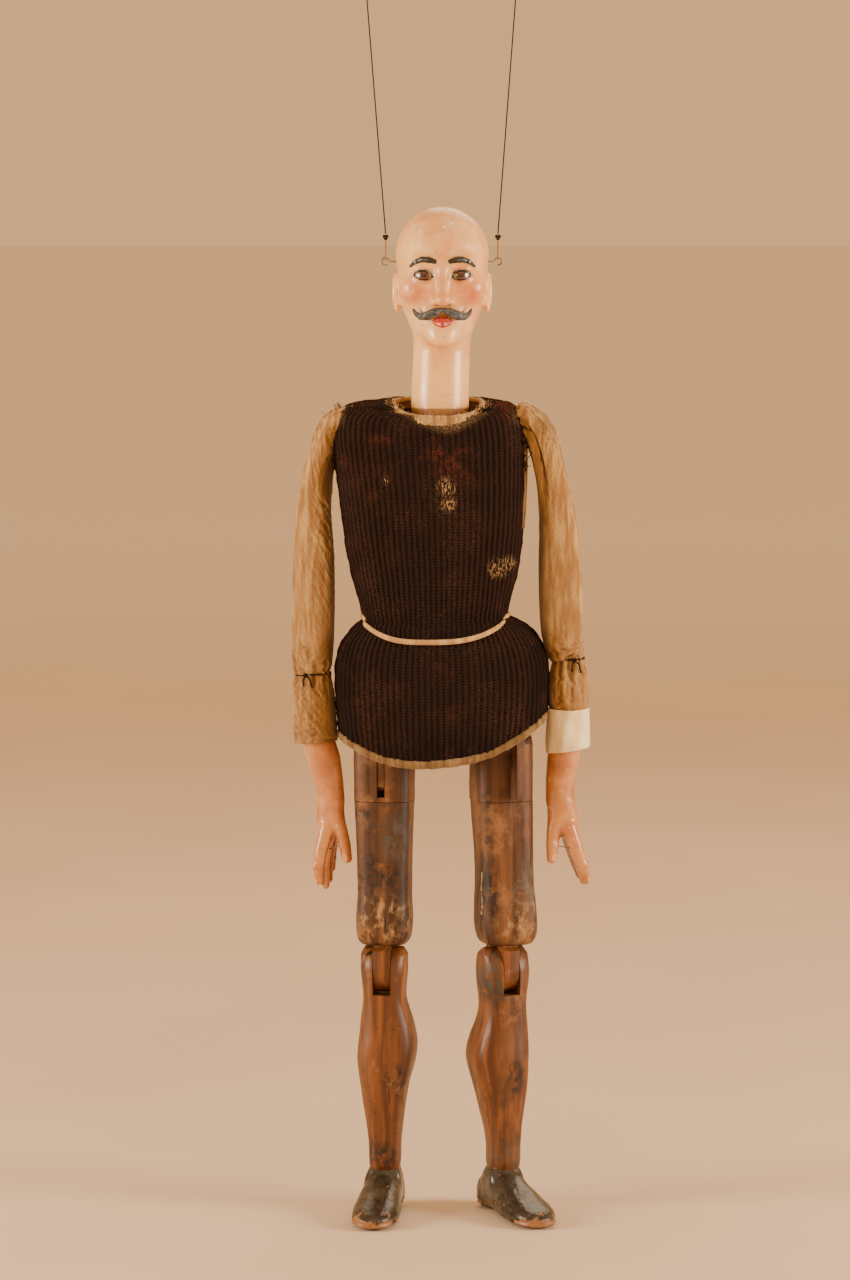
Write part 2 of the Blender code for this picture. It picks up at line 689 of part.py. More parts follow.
def make_shoulder(side, chest, link):
    """The wire staple on the chest's side, and the double wire eye that the sleeve is sewn to."""
    out = SIDE[side]
    swing = Vector((SWING_X[side], 0, SHOULDER_SWING))
    root_x = -0.0060 + out * 0.0660
    staple = [(root_x + out * 0.0004, 0, SHOULDER_SWING), (swing.x + out * 0.0030, 0, SHOULDER_SWING)]
    wire(f"{side}_shoulder_staple", chest, [chest.local(p) for p in staple], THICK_WIRE, "steel")
    swing_point = link.local((swing.x, 0, SHOULDER_SWING))
    raise_point = link.local((RAISE_X[side], 0, SHOULDER_RAISE))
    body = hoop(f"{side}_shoulder_link", link, swing_point, LINK_EYE, LINK_WIRE, "yz", "steel")
    second = hoop(f"{side}_link_eye_shape", link, raise_point, LINK_EYE, LINK_WIRE, "xz", "steel")
    low = swing_point - Vector((0, 0, LINK_EYE))
    near = raise_point - Vector((out * LINK_EYE, 0, 0))
    neck = bar(f"{side}_link_neck_shape", link, low, near, LINK_WIRE, "steel")
    join(body, second)
    join(body, neck)


def make_upper_arm(side, upper):
    """The stuffed upper sleeve and the string tied round the elbow."""
    elbow = ELBOW[side]
    x = ELBOW_X[side]
    top = SLEEVE_TOP[side]
    wide = top[0][3]
    cone = [
        (elbow + 0.0024, x, 0, 0.0020, 0.0020),
        (elbow + wide / CONE + 0.0010, x, 0, wide, top[0][4]),
    ]
    loft(f"{side}_upper_sleeve", upper, about(cone + top, upper), "calico")
    place = upper.local((x, 0, elbow))
    radius = TIE_RADIUS[side]
    points = [place + Vector((radius * math.cos(a), radius * math.sin(a), 0))
              for a in np.linspace(0, 2 * math.pi, 28, endpoint=False)]
    wire(f"{side}_elbow_tie", upper, points, 0.0006, "string", cyclic=True)


def make_lower_arm(side, lower):
    """The lower sleeve, the carved forearm and hand inside it, the hand's wire, and the left cuff."""
    elbow = ELBOW[side]
    x = ELBOW_X[side]
    bottom = SLEEVE_BOTTOM[side]
    wide = 0.0150 if side == "right" else 0.0142
    low_x = -0.0880 if side == "right" else 0.0917
    outline = [
        (bottom, low_x, 0, wide, wide),
        (elbow - wide / CONE - 0.0012, x, 0, wide, wide),
        (elbow - 0.0024, x, 0, 0.0020, 0.0020),
    ]
    sleeve = loft(f"{side}_lower_sleeve", lower, about(outline, lower), "calico")
    forearm = FOREARM[side]
    hollow = loft(f"{side}_sleeve_hollow", lower, about(forearm, lower), "calico", grow=2 * GAP)
    cut(sleeve, hollow)
    arm = loft(f"{side}_forearm_hand", lower, about(forearm, lower), "hand_paint")
    for part, sections in (("fingers", FINGERS[side]), ("thumb", THUMB[side])):
        join(arm, loft(f"{side}_{part}_shape", lower, about(sections, lower), "hand_paint"))
    return arm


def make_hand_wire(side, lower):
    """A short wire between the thumb and the fingers."""
    start, end = {"right": (-0.0748, -0.0711), "left": (0.0843, 0.0924)}[side]
    points = [lower.local((start, 0.0005, 0.2650)), lower.local((end, 0.0005, 0.2645))]
    wire(f"{side}_hand_wire", lower, points, 0.0004, "steel")


def make_cuff(lower):
    """The white cuff that covers the end of the left sleeve."""
    cuff = [
        (0.3340, 0.0915, 0, 0.0152, 0.0148),
        (0.3450, 0.0916, 0, 0.0152, 0.0148),
        (0.3557, 0.0917, 0, 0.0148, 0.0146),
    ]
    body = loft("left_cuff", lower, about(cuff, lower), "cuff_cotton")
    cut(body, loft("cuff_hollow", lower, about(FOREARM["left"], lower), "cuff_cotton", grow=2 * GAP))


# ---- legs ----------------------------------------------------------------------------------------

SLOT = 0.0057
TONGUE = SLOT - 2 * GAP
FORK_BOTTOM = 0.2985
SLOT_BOTTOM = 0.3020
FORK_HALF = 0.0212
FORK_DEPTH = 0.0190
FORK_ROUND = 0.0200
HIP_PIN = 0.0390
KNEE_SLOT = 0.0130
KNEE_SLOT_TOP = 0.2080
KNEE_PIN = 0.0320
SHIN_ROUND = 0.0170
KNEE_TONGUE_REACH = 0.0155
ANKLE_SLOT = 0.0086
ANKLE_SLOT_TOP = 0.0580
ANKLE_REACH = 0.0092
ANKLE_PIN = 0.0240
SHOE_SLOT = 0.0100
SHOE_SLOT_DEPTH = 0.0097
SHOE_TOP = 0.0120
THIGH_BOTTOM = 0.1945
FACE_YAW = {"right": 0.0, "left": math.radians(-7)}
THIGH = {
    "right": [
        (THIGH_BOTTOM, 0, 0, 0.0140, 0.0135),
        (0.1965, 0, 0, 0.0172, 0.0165),
        (0.2010, 0, 0, 0.0190, 0.0182),
        (0.2120, 0, 0, 0.0197, 0.0190),
        (0.2200, 0, 0, 0.0196, 0.0190),
        (0.2330, 0.0002, 0, 0.0188, 0.0186),
        (0.2600, 0.0002, 0, 0.0194, 0.0188),
        (0.2850, 0, 0, 0.0204, 0.0190),
        (FORK_BOTTOM, 0, 0, 0.0210, 0.0190),
    ],
    "left": [
        (THIGH_BOTTOM, 0.0026, 0, 0.0150, 0.0140),
        (0.1970, 0.0026, 0, 0.0185, 0.0170),
        (0.2020, 0.0026, 0, 0.0205, 0.0185),
        (0.2120, 0.0022, 0, 0.0212, 0.0190),
        (0.2260, 0.0018, 0, 0.0207, 0.0190),
        (0.2400, 0.0014, 0, 0.0198, 0.0186),
        (0.2600, 0.0008, 0, 0.0198, 0.0186),
        (0.2850, -0.0004, 0, 0.0206, 0.0190),
        (FORK_BOTTOM, -0.0010, 0, 0.0209, 0.0190),
    ],
}
FORK_X = {"right": 0.0, "left": -0.0014}
SHIN = {
    "right": [
        (0.0300, 0.0003, 0, 0.0105, 0.0095),
        (0.0370, 0.0003, 0, 0.0114, 0.0118),
        (0.0510, 0.0003, 0, 0.0117, 0.0122),
        (0.0655, 0, 0.0010, 0.0132, 0.0138),
        (0.0800, -0.0004, 0.0020, 0.0153, 0.0162),
        (0.0945, -0.0002, 0.0030, 0.0177, 0.0188),
        (0.1090, 0.0008, 0.0040, 0.0204, 0.0210),
        (0.1200, 0.0018, 0.0040, 0.0209, 0.0212),
        (0.1310, 0.0018, 0.0035, 0.0199, 0.0200),
        (0.1420, 0.0010, 0.0020, 0.0180, 0.0182),
        (0.1530, 0.0002, 0.0005, 0.0157, 0.0168),
        (0.1600, 0, 0, 0.0154, 0.0166),
        (0.1680, 0, 0, 0.0160, 0.0169),
        (KNEE, 0, 0, 0.0168, 0.0170),
    ],
    "left": [
        (0.0300, 0.0008, 0, 0.0105, 0.0095),
        (0.0370, 0.0008, 0, 0.0113, 0.0118),
        (0.0500, 0.0008, 0, 0.0116, 0.0122),
        (0.0640, 0.0006, 0.0010, 0.0134, 0.0138),
        (0.0790, 0.0002, 0.0020, 0.0161, 0.0162),
        (0.0940, -0.0006, 0.0030, 0.0188, 0.0186),
        (0.1080, -0.0018, 0.0040, 0.0208, 0.0208),
        (0.1170, -0.0020, 0.0040, 0.0210, 0.0210),
        (0.1280, -0.0010, 0.0035, 0.0194, 0.0200),
        (0.1380, 0, 0.0020, 0.0172, 0.0182),
        (0.1480, 0, 0.0005, 0.0158, 0.0168),
        (0.1570, 0, 0, 0.0162, 0.0166),
        (0.1660, 0, 0, 0.0174, 0.0169),
        (KNEE, 0, 0, 0.0180, 0.0170),
    ],
}
SHOE = [
    # (y from the ankle, half width, top height), heel to toe
    (0.0230, 0.0070, 0.0090),
    (0.0215, 0.0100, 0.0170),
    (0.0170, 0.0122, 0.0245),
    (0.0118, 0.0128, 0.0272),
    (0.0080, 0.0130, ANKLE + math.sqrt(SHOE_TOP**2 - 0.0080**2)),
    (0.0040, 0.0132, ANKLE + math.sqrt(SHOE_TOP**2 - 0.0040**2)),
    (0.0000, 0.0134, ANKLE + SHOE_TOP),
    (-0.0040, 0.0136, ANKLE + math.sqrt(SHOE_TOP**2 - 0.0040**2)),
    (-0.0080, 0.0140, ANKLE + math.sqrt(SHOE_TOP**2 - 0.0080**2)),
    (-0.0118, 0.0143, 0.0275),
    (-0.0180, 0.0148, 0.0255),
    (-0.0270, 0.0156, 0.0225),
    (-0.0380, 0.0164, 0.0185),
    (-0.0490, 0.0164, 0.0155),
    (-0.0580, 0.0148, 0.0132),
    (-0.0650, 0.0115, 0.0108),
    (-0.0700, 0.0060, 0.0070),
]


def rounded_top(pivot, radius, x, half_width, half_depth):
    """Sections that round a leg's end over a hinge pin, above the pin, as a half-circle in side view."""
    start = math.acos(min(1.0, half_depth / radius))
    sections = []
    for angle in np.linspace(start, math.radians(84), 8):
        rise = radius * math.sin(angle)
        corner = 0.0022 * max(0.0, math.sin(angle) - 0.75) / 0.25
        sections.append((pivot + rise, x, 0, half_width - corner, radius * math.cos(angle)))
    return sections


def tongue_plate(name, joint, half_x, outline, paint):
    """A flat plate across x, from an outline of (y, height) points that goes round once."""
    low = np.array([(-half_x, y, h - joint.height) for y, h in outline])
    high = np.array([(half_x, y, h - joint.height) for y, h in outline])
    return add(name, skin(name, [low, high]), joint, paint)


def half_disc(pivot, radius, steps=15):
    """Outline points of the lower half of a disc about a pin, from its back to its front."""
    points = []
    for angle in np.radians(np.linspace(0, -180, steps)):
        points.append((radius * math.cos(angle), pivot + radius * math.sin(angle)))
    return points


def make_hip(side, link):
    """The hip tongue: a flat tongue in the thigh's slot, and a round shank that turns in the pelvis."""
    outline = [(0.0118, 0.3520), (0.0118, 0.3090), (0.0070, 0.3030), (-0.0070, 0.3030), (-0.0118, 0.3090),
               (-0.0118, 0.3520)]
    tongue = tongue_plate(f"{side}_hip_tongue", link, TONGUE / 2, outline, "tongue_wood")
    middle = (0.3510 + SHANK_TOP_HIP - GAP) / 2 - link.height
    shank = rod(f"{side}_shank_shape", link, (0, 0, middle), SHANK_RADIUS, SHANK_TOP_HIP - GAP - 0.3510, "z",
                "tongue_wood")
    join(tongue, shank)
    cut(tongue, rod(f"{side}_tongue_bore", link, (0, 0, 0), PIN + GAP, CUTTER, "x", "tongue_wood"))


def make_thigh(side, thigh):
    """The thigh, the fork above its saw line, and the pin across the fork."""
    body = loft(f"{side}_thigh", thigh, THIGH[side], "thigh_wood", power=3.6, yaw=FACE_YAW[side])
    slot = block(f"{side}_knee_mortise", thigh, (-KNEE_SLOT / 2, -CUTTER, THIGH_BOTTOM - 0.01 - thigh.height),
                 (KNEE_SLOT / 2, CUTTER, KNEE_SLOT_TOP - thigh.height), "thigh_wood")
    cut(body, slot)
    fork_rows = [(FORK_BOTTOM + GAP, FORK_X[side], 0, FORK_HALF, FORK_DEPTH)]
    fork_rows += rounded_top(HIP, FORK_ROUND, FORK_X[side], FORK_HALF, FORK_DEPTH)
    fork = loft(f"{side}_thigh_fork", thigh, fork_rows, "thigh_wood", power=3.6, yaw=FACE_YAW[side])
    slot = block(f"{side}_fork_slot", thigh, (-SLOT / 2, -CUTTER, SLOT_BOTTOM - thigh.height),
                 (SLOT / 2, CUTTER, CUTTER + 0.02), "thigh_wood")
    cut(fork, slot)
    cut(fork, rod(f"{side}_fork_bore", thigh, (0, 0, 0), PIN + GAP, 2 * CUTTER, "x", "thigh_wood"))
    rod(f"{side}_hip_pin", thigh, (FORK_X[side], 0, 0), PIN, HIP_PIN, "x", "steel")
    pin = KNEE - thigh.height
    outline = half_disc(KNEE, KNEE_TONGUE_REACH)
    outline += [(-KNEE_TONGUE_REACH, KNEE_SLOT_TOP - GAP), (KNEE_TONGUE_REACH - 0.001, KNEE_SLOT_TOP - GAP)]
    tongue = tongue_plate(f"{side}_knee_tongue", thigh, KNEE_SLOT / 2 - GAP, outline, "tongue_wood")
    cut(tongue, rod(f"{side}_knee_bore", thigh, (0, 0, pin), PIN + GAP, CUTTER, "x", "tongue_wood"))


def make_thigh_wire(thigh):
    """The bent wire on the inner side of the left thigh."""
    face = -0.0225
    points = [(face, -0.0140, 0.2500), (face - 0.0006, -0.0142, 0.2380), (face - 0.0002, -0.0146, 0.2260),
              (face - 0.0008, -0.0146, 0.2190)]
    wire("left_thigh_wire", thigh, [(x, y, h - thigh.height) for x, y, h in points], 0.0006, "steel")


def make_shin(side, shin):
    """The shin, its knee slot and pin, and the tongue that reaches down into the shoe."""
    rows = SHIN[side] + rounded_top(KNEE, SHIN_ROUND, 0, SHIN[side][-1][3], SHIN_ROUND - 0.0001)[1:]
    body = loft(f"{side}_shin", shin, rows, "shin_wood", power=2.9)
    slot = block(f"{side}_knee_slot", shin, (-KNEE_SLOT / 2, -CUTTER, -0.0160),
                 (KNEE_SLOT / 2, CUTTER, CUTTER), "shin_wood")
    cut(body, slot)
    cut(body, rod(f"{side}_shin_bore", shin, (0, 0, 0), PIN + GAP, 2 * CUTTER, "x", "shin_wood"))
    rod(f"{side}_knee_pin", shin, (0, 0, 0), PIN, KNEE_PIN, "x", "steel")
    ankle = ANKLE - shin.height
    cut(body, rod(f"{side}_ankle_hollow", shin, (0, 0, ankle), SHOE_TOP + 0.0004, 2 * CUTTER, "x",
                  "shin_wood", 48))
    top = ANKLE_SLOT_TOP
    slot = block(f"{side}_ankle_mortise", shin, (-ANKLE_SLOT / 2, -CUTTER, ankle),
                 (ANKLE_SLOT / 2, 0.0100, top - shin.height), "shin_wood")
    cut(body, slot)
    narrow = ANKLE_REACH - 0.0042
    above = ANKLE + SHOE_TOP
    outline = half_disc(ANKLE, ANKLE_REACH) + [(-narrow, above), (-narrow, top - GAP)]
    outline += [(narrow, top - GAP), (narrow, above)]
    tongue = tongue_plate(f"{side}_ankle_tongue", shin, ANKLE_SLOT / 2 - GAP, outline, "tongue_wood")
    cut(tongue, rod(f"{side}_ankle_bore", shin, (0, 0, ankle), PIN + GAP, CUTTER, "x", "tongue_wood"))


def shoe_ring(y, half, top, drop):
    """An upright ring across the shoe: rounded above and flat on the sole."""
    points = ring(0, 0, 0, half, 1.0, 2.8, count=28)
    middle = top * 0.40
    lift = np.where(points[:, 1] > 0, top - middle, middle * 1.12)
    height = middle + points[:, 1] * lift
    return np.column_stack([points[:, 0], np.full(len(points), y), np.maximum(height, 0.0) - drop])


def make_shoe(side, foot):
    """The carved shoe, with the slot for the ankle tongue and the pin across it."""
    rings = [shoe_ring(y, half, top, foot.height) for y, half, top in SHOE]
    shoe = add(f"{side}_shoe", skin("shoe", rings[::-1]), foot, "shoe_paint")
    slot = block(f"{side}_shoe_slot", foot, (-ANKLE_SLOT / 2, -SHOE_SLOT, -SHOE_SLOT_DEPTH),
                 (ANKLE_SLOT / 2, SHOE_SLOT, CUTTER), "shoe_paint")
    cut(shoe, slot)
    cut(shoe, rod(f"{side}_shoe_bore", foot, (0, 0, 0), PIN + GAP, 2 * CUTTER, "x", "shoe_paint"))
    rod(f"{side}_ankle_pin", foot, (0, 0, 0), PIN, ANKLE_PIN, "x", "steel")


# ---- the whole figure ----------------------------------------------------------------------------


def make_arm(side, chest):
    """One arm, from its shoulder link to its hand."""
    link = Joint(f"{side}_shoulder_swing", SWING_X[side], SHOULDER_SWING, chest)
    upper = Joint(f"{side}_shoulder_raise", RAISE_X[side], SHOULDER_RAISE, link)
    lower = Joint(f"{side}_elbow", ELBOW_X[side], ELBOW[side], upper)
    make_shoulder(side, chest, link)
    make_upper_arm(side, upper)
    make_lower_arm(side, lower)
    make_hand_wire(side, lower)
    if side == "left":
        make_cuff(lower)


def make_leg(side, pelvis):
    """One leg, from its hip tongue to its shoe."""
    x, yaw = LEG_X[side], LEG_YAW[side]
    link = Joint(f"{side}_hip_turn", x, HIP, pelvis, yaw)
    thigh = Joint(f"{side}_hip_swing", x, HIP, link, yaw)
    shin = Joint(f"{side}_knee", x, KNEE, thigh, yaw)
    foot = Joint(f"{side}_ankle", x, ANKLE, shin, yaw)
    make_hip(side, link)
    make_thigh(side, thigh)
    make_shin(side, shin)
    make_shoe(side, foot)
    if side == "left":
        make_thigh_wire(thigh)


def clear_scene():
    """Take away whatever the file opened with."""
    for obj in list(bpy.data.objects):
        bpy.data.objects.remove(obj, do_unlink=True)


def main():
    clear_scene()
    root = Joint("hanging_point", 0, HANG)
    head = Joint("head_rock", 0, HOOK, root)
    neck = Joint("head_turn", 0, NECK, head)
    chest = Joint("neck_nod", 0, NECK, neck)
    waist = Joint("waist_bend", 0, WAIST, chest)
    pelvis = Joint("waist_twist", 0, WAIST, waist)
    for side in SIDE:
        make_string(side, root)
    make_head(head)
    make_swivel("neck_swivel", neck, (0, 0, NECK), SHANK_TOP - NECK)
    make_chest(chest)
    make_waist(waist)
    make_pelvis(pelvis)
    for side in SIDE:
        make_arm(side, chest)
        make_leg(side, pelvis)
    bpy.context.view_layer.update()


main()
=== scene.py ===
"""The looks of the carved string marionette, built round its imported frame."""

import json
import math

import bpy
import numpy as np
import openvdb
from mathutils import Matrix, Vector


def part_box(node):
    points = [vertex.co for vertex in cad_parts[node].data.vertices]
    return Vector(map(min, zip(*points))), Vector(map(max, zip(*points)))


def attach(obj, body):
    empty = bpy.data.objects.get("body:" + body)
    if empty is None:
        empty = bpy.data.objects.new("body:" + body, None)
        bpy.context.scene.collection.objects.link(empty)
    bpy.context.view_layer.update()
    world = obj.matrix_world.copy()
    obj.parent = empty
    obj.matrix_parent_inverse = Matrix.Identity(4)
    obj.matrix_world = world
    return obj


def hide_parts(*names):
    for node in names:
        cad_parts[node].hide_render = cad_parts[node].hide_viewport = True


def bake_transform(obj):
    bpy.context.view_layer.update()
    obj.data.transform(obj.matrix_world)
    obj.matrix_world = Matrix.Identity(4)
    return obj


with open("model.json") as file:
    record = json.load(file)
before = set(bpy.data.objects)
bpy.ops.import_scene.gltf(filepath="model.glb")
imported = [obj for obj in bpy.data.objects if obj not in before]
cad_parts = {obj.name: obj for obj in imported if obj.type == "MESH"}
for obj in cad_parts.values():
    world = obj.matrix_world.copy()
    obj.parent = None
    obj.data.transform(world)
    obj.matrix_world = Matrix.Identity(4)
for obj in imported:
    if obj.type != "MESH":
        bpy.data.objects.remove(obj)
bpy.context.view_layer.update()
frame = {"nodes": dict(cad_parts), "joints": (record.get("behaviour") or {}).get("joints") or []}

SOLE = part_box("right_shoe")[0].z
SIDES = {"right": -1.0, "left": 1.0}
MM = 0.001
WAIST = SOLE + 0.427
JOINTS = {joint["name"]: Vector(joint["pos_m"]) for joint in frame["joints"]}
LEG_YAW = {"right": math.radians(-8), "left": math.radians(24)}


# ---- camera ----

SENSOR = 36.0
CAMERA_AWAY = 3.19
CAMERA_HEIGHT = 0.72
CAMERA_X = -0.0107
CAMERA_DOWN = math.radians(5.5)
LENS = 126.6


def add_object(name, data):
    """A new object in the scene."""
    obj = bpy.data.objects.new(name, data)
    bpy.context.collection.objects.link(obj)
    return obj


def make_camera():
    """A long lens, level with the head and tipped down a little."""
    data = bpy.data.cameras.new("camera")
    data.sensor_fit = "VERTICAL"
    data.sensor_height = SENSOR
    data.lens = LENS
    camera = add_object("camera", data)
    camera.location = (CAMERA_X, -CAMERA_AWAY, SOLE + CAMERA_HEIGHT)
    camera.rotation_euler = (math.pi / 2 - CAMERA_DOWN, 0, 0)
    bpy.context.scene.camera = camera


# ---- node materials ----


class Paint:
    """A material under construction, with short calls for the nodes that the materials here share."""

    def __init__(self, name, roughness=0.6, metallic=0.0, **sockets):
        self.material = bpy.data.materials.new(name)
        self.material.use_nodes = True
        self.tree = self.material.node_tree
        self.shader = self.tree.nodes["Principled BSDF"]
        self.shader.inputs["Roughness"].default_value = roughness
        self.shader.inputs["Metallic"].default_value = metallic
        for socket, value in sockets.items():
            self.shader.inputs[socket.replace("_", " ")].default_value = value
        self.place = self.node("ShaderNodeTexCoord").outputs["Object"]

    def node(self, kind, **settings):
        made = self.tree.nodes.new(kind)
        for key, value in settings.items():
            setattr(made, key, value)
        return made

    def link(self, source, target):
        self.tree.links.new(source, target)

    def put(self, value, socket):
        """Links an output, or sets a plain value."""
        if isinstance(value, bpy.types.NodeSocket):
            self.link(value, socket)
        else:
            socket.default_value = value

    def scaled(self, x, y, z, place=None):
        """Coordinates stretched along each axis."""
        mapping = self.node("ShaderNodeMapping")
        self.link(place or self.place, mapping.inputs["Vector"])
        mapping.inputs["Scale"].default_value = (x, y, z)
        return mapping.outputs["Vector"]

    def noise(self, scale, detail=4.0, place=None, rough=0.55, distortion=0.0):
        """Cloudy values, about 0.5 in the middle."""
        made = self.node("ShaderNodeTexNoise")
        made.inputs["Scale"].default_value = scale
        made.inputs["Detail"].default_value = detail
        made.inputs["Roughness"].default_value = rough
        made.inputs["Distortion"].default_value = distortion
        self.link(place or self.place, made.inputs["Vector"])
        return made.outputs["Fac"]

    def dots(self, scale, place=None):
        """Distance to the nearest of many scattered points."""
        made = self.node("ShaderNodeTexVoronoi")
        made.inputs["Scale"].default_value = scale
        self.link(place or self.place, made.inputs["Vector"])
        return made.outputs["Distance"]

    def ramp(self, value, low, high):
        """0 below low and 1 above high, or the other way round."""
        made = self.node("ShaderNodeMapRange", interpolation_type="SMOOTHSTEP")
        self.put(value, made.inputs["Value"])
        made.inputs["From Min"].default_value = min(low, high)
        made.inputs["From Max"].default_value = max(low, high)
        made.inputs["To Min"].default_value = 0.0 if low < high else 1.0
        made.inputs["To Max"].default_value = 1.0 if low < high else 0.0
        return made.outputs["Result"]

    def math(self, operation, a, b=0.0):
        made = self.node("ShaderNodeMath", operation=operation)
        self.put(a, made.inputs[0])
        self.put(b, made.inputs[1])
        return made.outputs[0]

    def both(self, a, b):
        return self.math("MULTIPLY", a, b)

    def plus(self, a, b):
        return self.math("ADD", a, b)

    def less(self, a, b):
        return self.math("SUBTRACT", a, b)

    def either(self, a, b):
        return self.math("MAXIMUM", a, b)

    def mix(self, share, a, b):
        """Colour a turning to colour b."""
        made = self.node("ShaderNodeMix", data_type="RGBA")
        self.put(share, made.inputs["Factor"])
        self.put(rgba(a), made.inputs[6])
        self.put(rgba(b), made.inputs[7])
        return made.outputs[2]

    def attribute(self, name):
        return self.node("ShaderNodeAttribute", attribute_name=name).outputs["Fac"]

    def split(self, place=None):
        """The three parts of a place."""
        made = self.node("ShaderNodeSeparateXYZ")
        self.link(place or self.place, made.inputs[0])
        return made.outputs[0], made.outputs[1], made.outputs[2]

    def uv(self):
        return self.node("ShaderNodeUVMap", uv_map="UVMap").outputs["UV"]

    def bump(self, height, strength, distance):
        made = self.node("ShaderNodeBump")
        self.put(height, made.inputs["Height"])
        made.inputs["Strength"].default_value = strength
        made.inputs["Distance"].default_value = distance
        return made.outputs["Normal"]

    def finish(self, colour, normal=None, roughness=None):
        """The finished material."""
        self.put(rgba(colour), self.shader.inputs["Base Color"])
        if normal is not None:
            self.link(normal, self.shader.inputs["Normal"])
        if roughness is not None:
            self.link(roughness, self.shader.inputs["Roughness"])
        return self.material


def rgba(colour):
    """A colour given as 0..255 sRGB numbers, made linear. Sockets and ready colours pass through."""
    if not isinstance(colour, tuple) or len(colour) != 3:
        return colour
    linear = [c / 255 / 12.92 if c <= 10 else ((c / 255 + 0.055) / 1.055) ** 2.4 for c in colour]
    return (*linear, 1.0)


def wood_material(name, light, dark, stain, gloss, marked=False):
    """Old carved wood: grain along the limb, dark stains, cracks, worm holes and rubbed patches."""
    p = Paint(name, roughness=gloss, Specular_IOR_Level=0.4)
    along = p.scaled(1.0, 1.0, 0.06)
    grain = p.noise(420.0, 5.0, along, 0.65, 0.6)
    bands = p.noise(90.0, 3.0, along, 0.5, 1.2)
    colour = p.mix(p.ramp(bands, 0.3, 0.72), dark, light)
    fine = p.ramp(grain, 0.42, 0.66)
    colour = p.mix(p.both(fine, 0.45), colour, dark)
    blotch = p.ramp(p.noise(26.0, 5.0, None, 0.6, 0.8), 0.52, 0.72)
    colour = p.mix(p.both(blotch, 0.62), colour, stain)
    rubbed = p.ramp(p.noise(38.0, 7.0, None, 0.7), 0.55, 0.7)
    colour = p.mix(p.both(rubbed, 0.45), colour, (170, 122, 78))
    crack_place = p.scaled(1.0, 1.0, 0.035)
    crack = p.ramp(p.noise(150.0, 2.0, crack_place, 0.4, 0.3), 0.7, 0.735)
    colour = p.mix(p.both(crack, 0.9), colour, (26, 14, 8))
    holes = p.ramp(p.dots(190.0), 0.13, 0.08)
    holes = p.both(holes, p.ramp(p.noise(24.0), 0.46, 0.54))
    colour = p.mix(holes, colour, (22, 12, 8))
    marks = p.either(crack, holes)
    if marked:
        colour = add_marks(p, colour)
    height = p.less(p.both(grain, 0.25), marks)
    rough = p.plus(p.both(blotch, 0.15), p.ramp(rubbed, 0.0, 1.4))
    rough = p.plus(p.both(rough, 0.5), gloss)
    return p.finish(colour, p.bump(height, 0.35, 0.0006), rough)


def add_marks(p, colour):
    """Old wear laid on by attributes: soot, pale scuffs and grey worn paint, each broken up by noise."""
    smear = p.noise(170.0, 6.0, p.scaled(1.0, 1.0, 0.6), 0.68)
    kinds = [
        ("soot", (22, 20, 22), 0.42, 0.56),
        ("scuff", (166, 132, 92), 0.48, 0.66),
        ("grey", (78, 70, 62), 0.42, 0.6),
    ]
    for name, tone, low, high in kinds:
        share = p.both(p.attribute(name), p.ramp(smear, low, high))
        colour = p.mix(p.both(share, 0.88), colour, tone)
    return colour


def cloth_material(name, base, shade, thread=1300.0, dirt_and_shade_tone=(120, 88, 52)):
    """A plain-weave cotton: crossed threads, slubs, dirt in blotches, and painted shade in the folds' hollows
    and on the sleeves' inner sides.
    """
    p = Paint(name, roughness=0.92, Specular_IOR_Level=0.15, Sheen_Weight=0.15)
    u, v, _ = p.split(p.uv())
    warp = p.math("SINE", p.both(u, thread))
    weft = p.math("SINE", p.both(v, thread))
    weave = p.both(warp, weft)
    slub = p.noise(260.0, 3.0, p.scaled(1.0, 1.0, 0.15), 0.6)
    colour = p.mix(p.ramp(slub, 0.35, 0.68), shade, base)
    colour = p.mix(p.both(p.ramp(weave, 0.2, 0.9), 0.16), colour, shade)
    grime = p.ramp(p.noise(24.0, 6.0, None, 0.62, 0.6), 0.5, 0.74)
    colour = p.mix(p.both(grime, 0.55), colour, dirt_and_shade_tone)
    # Painted shade: darker where the fold value is low, in the hollows of folds and puckers and on the sleeves'
    # inner sides.
    folds = p.ramp(p.attribute("fold"), -0.1, -1.0)
    colour = p.mix(p.both(folds, 0.75), colour, dirt_and_shade_tone)
    _, _, z = p.split()
    # Darker towards the bottom, broken up by noise.
    lower_darkening = p.both(p.ramp(z, SOLE + 0.5, SOLE + 0.38), p.ramp(p.noise(36.0, 5.0), 0.25, 0.75))
    colour = p.mix(p.both(lower_darkening, 0.55), colour, shade)
    spots = p.both(p.ramp(p.dots(60.0), 0.1, 0.04), p.ramp(p.noise(15.0), 0.54, 0.6))
    colour = p.mix(spots, colour, (84, 52, 28))
    height = p.plus(p.both(weave, 0.35), p.both(slub, 0.6))
    return p.finish(colour, p.bump(height, 0.5, 0.0005))


